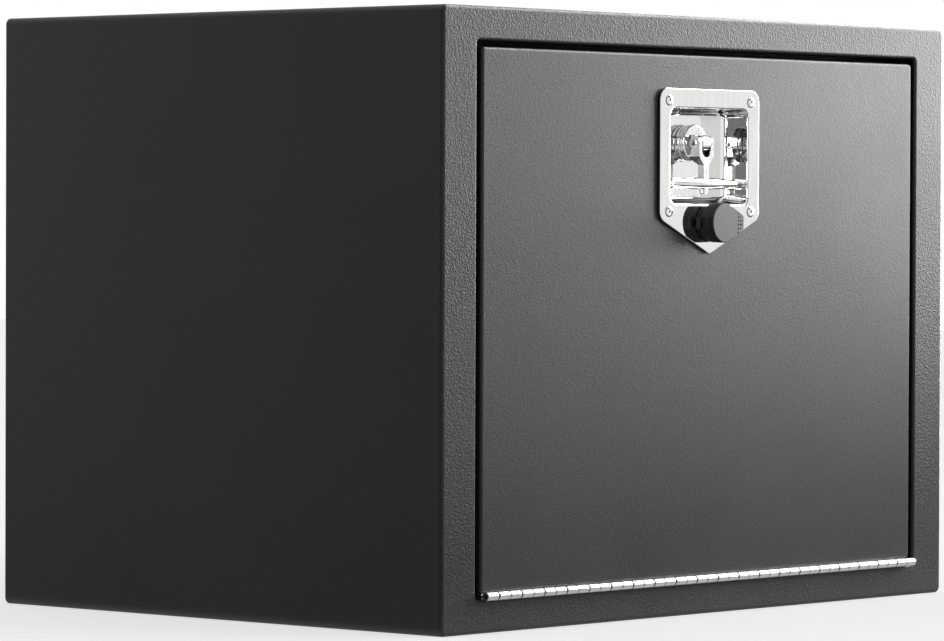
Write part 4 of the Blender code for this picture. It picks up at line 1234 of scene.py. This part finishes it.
def nut(name, radius, bore, seat, height, z, body, slot, node):
    """A hexagon nut, chamfered as a cone would cut it, with a clear bore."""
    end = seat + height
    flat = radius * math.cos(math.pi / 6)
    cone = turned([
        (0, seat), (flat, seat), (radius, seat + NUT_CHAMFER), (radius, end - NUT_CHAMFER),
        (flat, end), (0, end),
    ], z)
    made = new_object(name, rod(radius, seat, end, z, 6), "plated_steel")
    shaped(made, ("INTERSECT", cone), cut(rod(bore, seat - OVERRUN, end + OVERRUN, z)))
    return dressed(made, body, slot, node)


cam_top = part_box("latch_cam")[1].z
cam_half, cam_seat = CAM_WIDTH / 2, CAM_SEAT + GAP
cam_outline = filleted([
    (-CAM_HEEL, HUB_Z - CAM_HEEL, MM), (CAM_HEEL, HUB_Z - CAM_HEEL, MM),
    (CAM_HEEL, HUB_Z + CAM_HEEL, CAM_CORNER), (cam_half, HUB_Z + 2 * CAM_HEEL, CAM_CORNER),
    (cam_half, cam_top, CAM_CORNER), (-cam_half, cam_top, CAM_CORNER),
    (-cam_half, HUB_Z + 2 * CAM_HEEL, CAM_CORNER), (-CAM_HEEL, HUB_Z + CAM_HEEL, CAM_CORNER),
], 6)
cam = new_object("latch_arm", prism(cam_outline, cam_front, cam_back), "plated_steel")
shaped(cam, cut(box_of(
    (-cam_seat, cam_front - OVERRUN, HUB_Z - cam_seat),
    (cam_seat, cam_back + OVERRUN, HUB_Z + cam_seat),
)))
dressed(bevelled(cam, BROKEN_EDGE, 2), "latch_spindle", "plated_steel", "latch_cam")
nut(
    "arm_nut", NUT_RADIUS, THREAD_RADIUS + GAP, cam_back + GAP, NUT_HEIGHT, HUB_Z,
    "latch_spindle", "plated_steel", "cam_nut",
)
nut(
    "housing_nut", LOCK_NUT_RADIUS, LOCK_BARREL + GAP, FRONT + SHEET + GAP, LOCK_NUT_HEIGHT,
    LOCK_Z, "door", "polished_steel", "lock_nut",
)

# %% [markdown]
# ## T-handle
# The handle hangs from the lug by a hollow pin. Its fork narrows into a short shank, and
# the bar is thicker in its middle. A casting like this is a few blended forms, so the fork
# is a front outline crossed with a side outline, as if it were machined from both sides.

# %% Fork and shank
CHEEK_RADIUS = 6 * MM
CHEEK_WIDTH = 3.2 * MM
CHEEK_CORNER = 1.2 * MM
SHOULDER_RISE = 6 * MM
SHOULDER_ROUND = 5 * MM
SLOT_CLEARANCE = 0.8 * MM
CLEVIS_SLOT = 11 * MM
CLEVIS_LENGTH = 16.5 * MM
SHANK_WIDTH = 6.4 * MM
SHANK_DEPTH = 5.8 * MM
SHANK_ROUND = 3 * MM
HANDLE_REACH = 31 * MM
BAR_DEPTH = 6.6 * MM
CAST_EDGE = 0.7 * MM

bar_y, bar_z = PLATE_FRONT + BAR_DEPTH, HUB_Z - HANDLE_REACH
slot_half = LUG_WIDTH / 2 + SLOT_CLEARANCE
fork_half = slot_half + CHEEK_WIDTH
fork_top = HUB_Z + CHEEK_RADIUS
fork_low = HUB_Z - CLEVIS_LENGTH


def handle_front():
    """The fork and shank from the front: straight cheeks that round into a narrow shank."""
    shank, shoulder = SHANK_WIDTH / 2, fork_low + SHOULDER_RISE
    return filleted([
        (fork_half, fork_top, CHEEK_CORNER), (-fork_half, fork_top, CHEEK_CORNER),
        (-fork_half, shoulder, SHOULDER_ROUND), (-shank, fork_low, SHANK_ROUND),
        (-shank, bar_z, MM / 2), (shank, bar_z, MM / 2),
        (shank, fork_low, SHANK_ROUND), (fork_half, shoulder, SHOULDER_ROUND),
    ], 8)


def handle_side():
    """The same from the side: round at the pivot, and thin where the shank begins."""
    shank = SHANK_DEPTH / 2
    return arc((pivot_y, HUB_Z), CHEEK_RADIUS, 0, 180, 32) + [
        (pivot_y - CHEEK_RADIUS, fork_low + SHOULDER_RISE - MM), (bar_y - shank, fork_low + MM),
        (bar_y - shank, bar_z), (bar_y + shank, bar_z),
        (bar_y + shank, fork_low), (pivot_y + CHEEK_RADIUS, fork_low + SHOULDER_RISE),
    ]


def across_pivot(outline, reach):
    """An outline from the front, made solid to both sides of the pivot."""
    return prism(outline, pivot_y - reach * CHEEK_RADIUS, pivot_y + reach * CHEEK_RADIUS)


slot_outline = arc((0, HUB_Z - CLEVIS_SLOT + slot_half), slot_half, 180, 360, 16)
slot_outline += [(slot_half, fork_top + OVERRUN), (-slot_half, fork_top + OVERRUN)]
grip = shaped(
    new_object("t_grip", across_pivot(handle_front(), 2), "satin_steel"),
    ("INTERSECT", prism_along_x(handle_side(), -2 * fork_half, 2 * fork_half)),
    cut(across_pivot(slot_outline, 3)),
)
bevelled(grip, CAST_EDGE)
print("fork", brief(2 * fork_half), "wide, slot", brief(2 * slot_half))

# %% Bar, stub and pin
BAR_LENGTH = 77 * MM
BAR_MIDDLE = 4.6 * MM
BAR_END = 3 * MM
BAR_STEPS = 12
END_ROUND = 1 * MM
DIMPLE = 1.3 * MM
DIMPLE_SECTION = ((0, 1), (0.7, 0.9), (1, 0.3), (1.15, 0))
STUB_RADIUS = 3.4 * MM
STUB_LENGTH = 3.2 * MM
STUB_DIMPLE = 0.8 * MM
STUB_FLARE = 1.2
PIN_BORE = 1.5 * MM
PIN_RIM = 3.6 * MM
PIN_PROUD = 0.6 * MM
PIN_ROUND = 0.5 * MM
PIN_STRAIGHT = 0.4
PIN_HOLLOW = 0.4 * MM
PIN_CLEAR = 0.05 * MM

bar_end = BAR_LENGTH / 2


def bar_half():
    """The bar from its dimpled end to its middle, as (radius, distance)."""
    points = [(DIMPLE * wide, -bar_end + DIMPLE * deep) for wide, deep in DIMPLE_SECTION]
    points += arc((BAR_END - END_ROUND, -bar_end + END_ROUND), END_ROUND, -90, 0, 4)
    for i in range(1, BAR_STEPS + 1):
        share = i / BAR_STEPS
        radius = BAR_END + (BAR_MIDDLE - BAR_END) * math.sin(share * math.pi / 2)
        points.append((radius, (END_ROUND - bar_end) * (1 - share)))
    return points


bar = turned(mirrored(bar_half()), steps=48)
stub_end = -BAR_MIDDLE - STUB_LENGTH
stub = turned([
    (0, stub_end + STUB_DIMPLE), (DIMPLE, stub_end + STUB_DIMPLE),
    (DIMPLE * STUB_FLARE, stub_end), (STUB_RADIUS - CAST_EDGE, stub_end),
    (STUB_RADIUS, stub_end + CAST_EDGE), (STUB_RADIUS, 0), (0, 0),
], steps=32)
shaped(grip, add(along_x(bar, 0, bar_y, bar_z)), add(along_z(stub, 0, bar_y, bar_z)), pin_hole(GAP))
dressed(grip, "handle", "polished_steel", "t_handle")

rim = fork_half + PIN_CLEAR
pin_face = fork_half + PIN_PROUD
pin_ring = mirrored([
    (HANDLE_PIN_RADIUS, 0), (HANDLE_PIN_RADIUS, rim), (PIN_RIM, rim),
    (PIN_RIM, rim + PIN_PROUD * PIN_STRAIGHT), (PIN_RIM - PIN_ROUND, pin_face),
    (PIN_BORE + PIN_ROUND, pin_face), (PIN_BORE, pin_face - PIN_HOLLOW),
])
handle_pin = along_x(turned(pin_ring, steps=32), 0, pivot_y, HUB_Z)
dressed(new_object("fork_pin", handle_pin, "satin_steel"), "handle", "polished_steel", "handle_pin")

# %% [markdown]
# ## Key lock
# Under the cap sits a cam lock: a housing with a flange, held by a thin nut, and a plug
# with a keyway that turns a flat tongue. The lock is only seen when the cap swings away
# and from inside the box, but a part that opens has to be whole there too.

# %% Housing and plug
FLANGE_RADIUS = 10.5 * MM
FLANGE_HEIGHT = 4 * MM
PLUG_RADIUS = 5.6 * MM
PLUG_EDGE = 0.4 * MM
PLUG_RECESS = 0.8 * MM
KEYWAY_WIDTH = 1.8 * MM
KEYWAY_DEPTH = 10 * MM
KEYWAY_HEIGHT = 7.4 * MM
BARREL_THREAD_DEPTH = 0.35 * MM
TONGUE_THICKNESS = 2.5 * MM
TONGUE_SEAT = 3 * MM
SCREW_SHANK = 1.4 * MM
SCREW_DEPTH = 6 * MM

PLATE_SEAT = PLATE_FRONT - GAP
housing_front = PLATE_SEAT - FLANGE_HEIGHT
tongue_front = cam_front + (CAM_THICKNESS - TONGUE_THICKNESS) / 2
tongue_back = tongue_front + TONGUE_THICKNESS
housing_back = tongue_front - GAP
housing = new_object("lock_body", turned([
    (PLUG_RADIUS + GAP, housing_front + MM / 2), (PLUG_RADIUS + MM, housing_front),
    *arc((FLANGE_RADIUS - MM, housing_front + MM), MM, -90, 0, 6),
    (FLANGE_RADIUS, PLATE_SEAT), (LOCK_BARREL, PLATE_SEAT), (LOCK_BARREL, FRONT),
    *thread(LOCK_BARREL, FRONT + MM, housing_back - MM, BARREL_THREAD_DEPTH),
    (LOCK_BARREL - BARREL_THREAD_DEPTH, housing_back), (PLUG_RADIUS + GAP, housing_back),
], LOCK_Z), "polished_steel")
dressed(housing, "door", "polished_steel", "lock_housing", crease=25)

plug_front = housing_front + PLUG_RECESS
plug_back = tongue_back - GAP
plug = new_object("key_core", turned([
    (0, plug_front), (PLUG_RADIUS - PLUG_EDGE, plug_front), (PLUG_RADIUS, plug_front + PLUG_EDGE),
    (PLUG_RADIUS, housing_back), (TONGUE_SEAT, housing_back), (TONGUE_SEAT, plug_back),
    (0, plug_back),
], LOCK_Z), "polished_steel")
shaped(
    plug,
    cut(box_of(
        (-KEYWAY_WIDTH / 2, plug_front - OVERRUN, LOCK_Z - KEYWAY_HEIGHT / 2),
        (KEYWAY_WIDTH / 2, plug_front + KEYWAY_DEPTH, LOCK_Z + KEYWAY_HEIGHT / 2),
    )),
    cut(rod(SCREW_SHANK + GAP, plug_back - SCREW_DEPTH, plug_back + OVERRUN, LOCK_Z, 24)),
)
dressed(plug, "key_plug", "polished_steel", "lock_plug")

# %% Tongue and its screw
TONGUE_EDGE = 0.35 * MM
SCREW_RADIUS = 4.2 * MM
SCREW_HEIGHT = 2 * MM
SCREW_SECTION = ((1, 0), (1, 0.4), (0.8, 0.85), (0.4, 1), (0, 1))
CROSS_LENGTH = 4.4 * MM
CROSS_WIDTH = 1 * MM
CROSS_FLOOR = 0.45

low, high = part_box("lock_tongue")
corners = (low.x, low.z), (high.x, low.z), (high.x, high.z), (low.x, high.z)
tongue_outline = filleted([(x, z, CAM_CORNER) for x, z in corners], 6)
tongue = new_object("lock_bar", prism(tongue_outline, tongue_front, tongue_back), "plated_steel")
tongue_hole = rod(TONGUE_SEAT + GAP, tongue_front - OVERRUN, tongue_back + OVERRUN, LOCK_Z)
bevelled(shaped(tongue, cut(tongue_hole)), TONGUE_EDGE, 2)
dressed(tongue, "key_plug", "polished_steel", "lock_tongue")

screw_tip = plug_back - SCREW_DEPTH + GAP
head = tongue_back + GAP
screw = new_object("lock_bar_screw", turned([
    (0, screw_tip), (SCREW_SHANK, screw_tip), (SCREW_SHANK, head),
    *[(SCREW_RADIUS * wide, head + SCREW_HEIGHT * high) for wide, high in SCREW_SECTION],
], LOCK_Z, 40), "plated_steel")
cross_floor, cross_top = head + SCREW_HEIGHT * CROSS_FLOOR, head + SCREW_HEIGHT * 2
shaped(screw, *[
    cut(box_of((-x / 2, cross_floor, LOCK_Z - z / 2), (x / 2, cross_top, LOCK_Z + z / 2)))
    for x, z in ((CROSS_LENGTH, CROSS_WIDTH), (CROSS_WIDTH, CROSS_LENGTH))
])
dressed(screw, "key_plug", "polished_steel", "tongue_screw")

# %% [markdown]
# ## Weather cap
# A moulded rubber cup covers the key lock. It swings on a pin at its left, and its thumb
# tab at the right has rows of dots for grip. Fine ribs run round its front edge. The ribs
# and the dots repeat by rule, so Geometry Nodes place them.

# %% A tree that sets a piece round the y axis in even steps

def make_ring_tree():
    tree, given = new_group("ring_of_pieces", "GeometryNodeTree", [
        GEOMETRY_IN, ("Piece", "Object", None), ("Count", "Int", 12),
        ("Step", "Vector", (0, 0.1, 0)), ("Middle", "Vector", (0, 0, 0)),
        ("Finish", "Material", None),
    ], [GEOMETRY_OUT])
    line = put(tree, "GeometryNodeMeshLine", {"Count": given["Count"], "Offset": (0, 0, 0)})
    number = put(tree, "GeometryNodeInputIndex")
    angle = put(tree, "ShaderNodeVectorMath", {
        0: given["Step"], "Scale": number["Index"],
    }, operation="SCALE")
    piece = put(tree, "GeometryNodeObjectInfo", {"Object": given["Piece"]})
    placed = put(tree, "GeometryNodeInstanceOnPoints", {
        "Points": line["Mesh"], "Instance": piece["Geometry"], "Rotation": angle["Vector"],
    })
    real = put(tree, "GeometryNodeRealizeInstances", {"Geometry": placed["Instances"]})
    shift = put(tree, "GeometryNodeTransform", {
        "Geometry": real["Geometry"], "Translation": given["Middle"],
    })
    return joined_to_start(tree, given, shift["Geometry"])


ring_tree = make_ring_tree()
print("tree", ring_tree.name, len(ring_tree.nodes), "nodes")

# %% Ring and pin under the cap
RING_HEIGHT = 2.4 * MM
RING_RADIUS = 13.8 * MM
RING_BORE = 11 * MM
EAR_RADIUS = 1.8 * MM
EAR_HEIGHT = 3.4 * MM
FORK_HEIGHT = 2.4 * MM
CAP_PIN = 0.7 * MM

cap_x, cap_y = joints["cap_swing"]["pos_m"][:2]
ring_front = PLATE_SEAT - RING_HEIGHT


def ear(low, high, radius):
    """A short upright cylinder on the cap's hinge axis."""
    return along_z(rod(radius, low, high, steps=32), cap_x, cap_y, LOCK_Z)


ring_steps = []
for sign in (-1, 1):
    near = sign * (EAR_HEIGHT / 2 + GAP)
    low, high = sorted((near, near + sign * FORK_HEIGHT))
    arm = box_of(
        (cap_x, ring_front + GAP, LOCK_Z + low + GAP),
        (-(RING_RADIUS + RING_BORE) / 2, PLATE_SEAT - GAP, LOCK_Z + high - GAP),
    )
    ring_steps += [add(arm), add(ear(low, high, EAR_RADIUS))]
span = EAR_HEIGHT / 2 + FORK_HEIGHT + 2 * GAP
ring_steps.append(cut(ear(-span - OVERRUN, span + OVERRUN, CAP_PIN + GAP)))
ring_mesh = ring_of(RING_RADIUS, RING_BORE, ring_front, PLATE_SEAT, LOCK_Z)
cap_ring = shaped(new_object("cap_base", ring_mesh, "rubber"), *ring_steps)
dressed(cap_ring, "door", "rubber", "cap_ring")
dressed(new_object("cap_rod", ear(-span, span, CAP_PIN), "rubber"), "door", "rubber", "cap_pin")

# %% Cup with its ear, rib and tab
CAP_RADIUS = 15 * MM
CAP_WALL = 1.8 * MM
CAP_LENGTH = 15.2 * MM
CAP_EDGE = 0.6 * MM
CAP_RIM = 0.3 * MM
RIB_HEIGHT = 8.6 * MM
RIB_DEPTH = 2.4 * MM
RIB_LENGTH = 6.2 * MM
TAB_REACH = 7.6 * MM
TAB_ROOT = 9.2 * MM
TAB_ROOT_HEIGHT = 24 * MM
TAB_TIP = 10.8 * MM
TAB_ROUND = 1.2 * MM
TAB_THICKNESS = 2.6 * MM

cap_front = PLATE_FRONT - CAP_LENGTH
cap_back = ring_front - GAP
inner = CAP_RADIUS - CAP_WALL
root = -(CAP_RADIUS - CAP_WALL / 2)
rib_back = cap_y - EAR_RADIUS - GAP
half_ear = EAR_HEIGHT / 2
tab_end, tab_front = CAP_RADIUS + TAB_REACH, cap_front + CAP_EDGE / 2
cap_edge = arc((CAP_RADIUS - CAP_EDGE, cap_front + CAP_EDGE), CAP_EDGE, -90, 0, 5)
cup = new_object("cap_cup", turned([
    (0, cap_front + CAP_WALL), (inner, cap_front + CAP_WALL), (inner, cap_back),
    (CAP_RADIUS - CAP_RIM, cap_back), (CAP_RADIUS, cap_back - CAP_RIM),
    *cap_edge[::-1], (0, cap_front),
], LOCK_Z, 96), "rubber")
tab = filleted([
    (TAB_ROOT, LOCK_Z - TAB_ROOT_HEIGHT / 2, CAP_EDGE), (tab_end, LOCK_Z - TAB_TIP / 2, TAB_ROUND),
    (tab_end, LOCK_Z + TAB_TIP / 2, TAB_ROUND), (TAB_ROOT, LOCK_Z + TAB_ROOT_HEIGHT / 2, CAP_EDGE),
])
shaped(
    cup,
    add(ear(-half_ear, half_ear, EAR_RADIUS)),
    add(box_of(
        (cap_x, cap_y - EAR_RADIUS + GAP, LOCK_Z - half_ear + GAP),
        (root, cap_back - GAP, LOCK_Z + half_ear - GAP),
    )),
    add(box_of(
        (root - RIB_DEPTH, rib_back - RIB_LENGTH, LOCK_Z - RIB_HEIGHT / 2),
        (root, rib_back, LOCK_Z + RIB_HEIGHT / 2),
    )),
    add(prism(tab, tab_front, tab_front + TAB_THICKNESS)),
    cut(rod(inner, cap_front + CAP_WALL, cap_back + OVERRUN, LOCK_Z, 96)),
    cut(ear(-half_ear - OVERRUN, half_ear + OVERRUN, CAP_PIN + GAP)),
)
print("cup", brief(cap_back - cap_front), "deep, tab to", brief(tab_end))

# %% Fine ribs round the front of the cup, and rows of dots in its tab
RIB_COUNT = 72
FINE_RIB = 0.4 * MM
FINE_RIB_PROUD = 0.16 * MM
FINE_RIB_REACH = 0.45
DOT_COLUMNS = ((15.9 * MM, 6), (18.3 * MM, 4), (20.7 * MM, 2))
DOT_STEP = 2.97 * MM
DOT_WIDTH = 1.2 * MM
DOT_HEIGHT = 1.6 * MM
DOT_CORNER = 0.5 * MM
DOT_DEPTH = 1.3 * MM
FACING_OUT = -0.95

rib_end = cap_front + CAP_LENGTH * FINE_RIB_REACH
fine_rib = turned([
    (0, cap_front + CAP_EDGE), (FINE_RIB, cap_front + CAP_EDGE + FINE_RIB),
    (FINE_RIB, rib_end), (0, rib_end + FINE_RIB),
], CAP_RADIUS + FINE_RIB_PROUD - FINE_RIB, 8)
grown(cup, ring_tree, "rubber", {
    "Count": RIB_COUNT, "Step": (0, 2 * math.pi / RIB_COUNT, 0), "Middle": (0, 0, LOCK_Z),
}, fine_rib)
dot_outline = rounded(DOT_WIDTH, -DOT_HEIGHT / 2, DOT_HEIGHT / 2, DOT_CORNER, 3)
for x, count in DOT_COLUMNS:
    dot = prism(dot_outline, tab_front - OVERRUN, tab_front + DOT_DEPTH)
    first = (x, 0, LOCK_Z - (count - 1) * DOT_STEP / 2)
    dots = repeated(
        "tab_dots", bmesh.new(), dot, (1, count), first, (DOT_STEP, DOT_STEP), "rubber",
    )
    shaped(cup, cut(discarded(dots)))
# The faces that look straight out of the cup's front take the grey finish, a painted sheen.
cup.data.materials.clear()
for material in ("rubber", "cap_face_rubber"):
    cup.data.materials.append(finishes[material])
for face in cup.data.polygons:
    in_front = face.normal.y < FACING_OUT and face.center.y < tab_front + MM / 10
    face.material_index = int(in_front)
dressed(cup, "lock_cap", "rubber", "weather_cap")

# %% [markdown]
# ## Stiffeners, eyes and keeper
# Inside the door two hat sections stiffen the sheet, and four angles take the hooks of the
# door's cables. They are folded from sheet and welded in. A folded section is an outline
# pulled along its length, and the Bevel modifier rounds its bends as the brake press does.

# %% Hat sections
STIFFENER_SHEET = 1.5 * MM
STIFFENER_SPACING = 310 * MM
CROWN = 24 * MM
FLANGE = 10 * MM
HAT_DEPTH = 13 * MM
FOLD_ROUND = 0.6 * MM
SIDES = ((-1, "left"), (1, "right"))

base = FRONT + SHEET + GAP
crown_half, crown_top = CROWN / 2, base + HAT_DEPTH
outer = [
    (crown_half + FLANGE, base), (crown_half + FLANGE, base + STIFFENER_SHEET),
    (crown_half, base + STIFFENER_SHEET), (crown_half, crown_top),
]
within = [
    (crown_half - STIFFENER_SHEET, crown_top - STIFFENER_SHEET),
    (crown_half - STIFFENER_SHEET, base),
]
far_side = [(-x, y) for x, y in outer[::-1] + within[::-1]]
for sign, word in SIDES:
    section = [(sign * STIFFENER_SPACING / 2 + x, y) for x, y in outer + far_side + within]
    hat_mesh = prism_along_z(section, door_low.z + LAP, door_high.z - LAP)
    hat = bevelled(new_object(f"hat_section_{word}", hat_mesh, "powder_coat"), FOLD_ROUND)
    dressed(hat, "door", "powder_coat", f"door_stiffener_{word}")

# %% Cable eyes and the keeper
EYE_SHEET = 2.5 * MM
EYE_BORE = 4 * MM
EYE_ROUND = 0.7 * MM


def cable_eye(name, node, body, sign):
    """An angle whose foot lies on an upright wall and whose ear, with a hole, points inward."""
    low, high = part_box(node)
    wall, tip = (low.x, high.x) if sign < 0 else (high.x, low.x)
    foot = wall - sign * EYE_SHEET
    outline = [
        (wall, low.y), (foot, low.y), (foot, high.y - EYE_SHEET),
        (tip, high.y - EYE_SHEET), (tip, high.y), (wall, high.y),
    ]
    hole = rod(
        EYE_BORE, high.y - OVERRUN, high.y + OVERRUN, (low.z + high.z) / 2, 40, (foot + tip) / 2,
    )
    made = new_object(name, prism_along_z(outline, low.z, high.z), "powder_coat")
    return dressed(bevelled(shaped(made, cut(hole)), EYE_ROUND), body, "powder_coat", node)


for sign, word in SIDES:
    cable_eye(f"frame_eye_{word}", f"frame_cable_eye_{word}", "box", sign)
    cable_eye(f"door_eye_{word}", f"door_cable_eye_{word}", "door", sign)

keeper = new_object("keeper_plate", box_of(*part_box("latch_keeper")), "plated_steel")
dressed(bevelled(keeper, FOLD_ROUND), "box", "plated_steel", "latch_keeper")
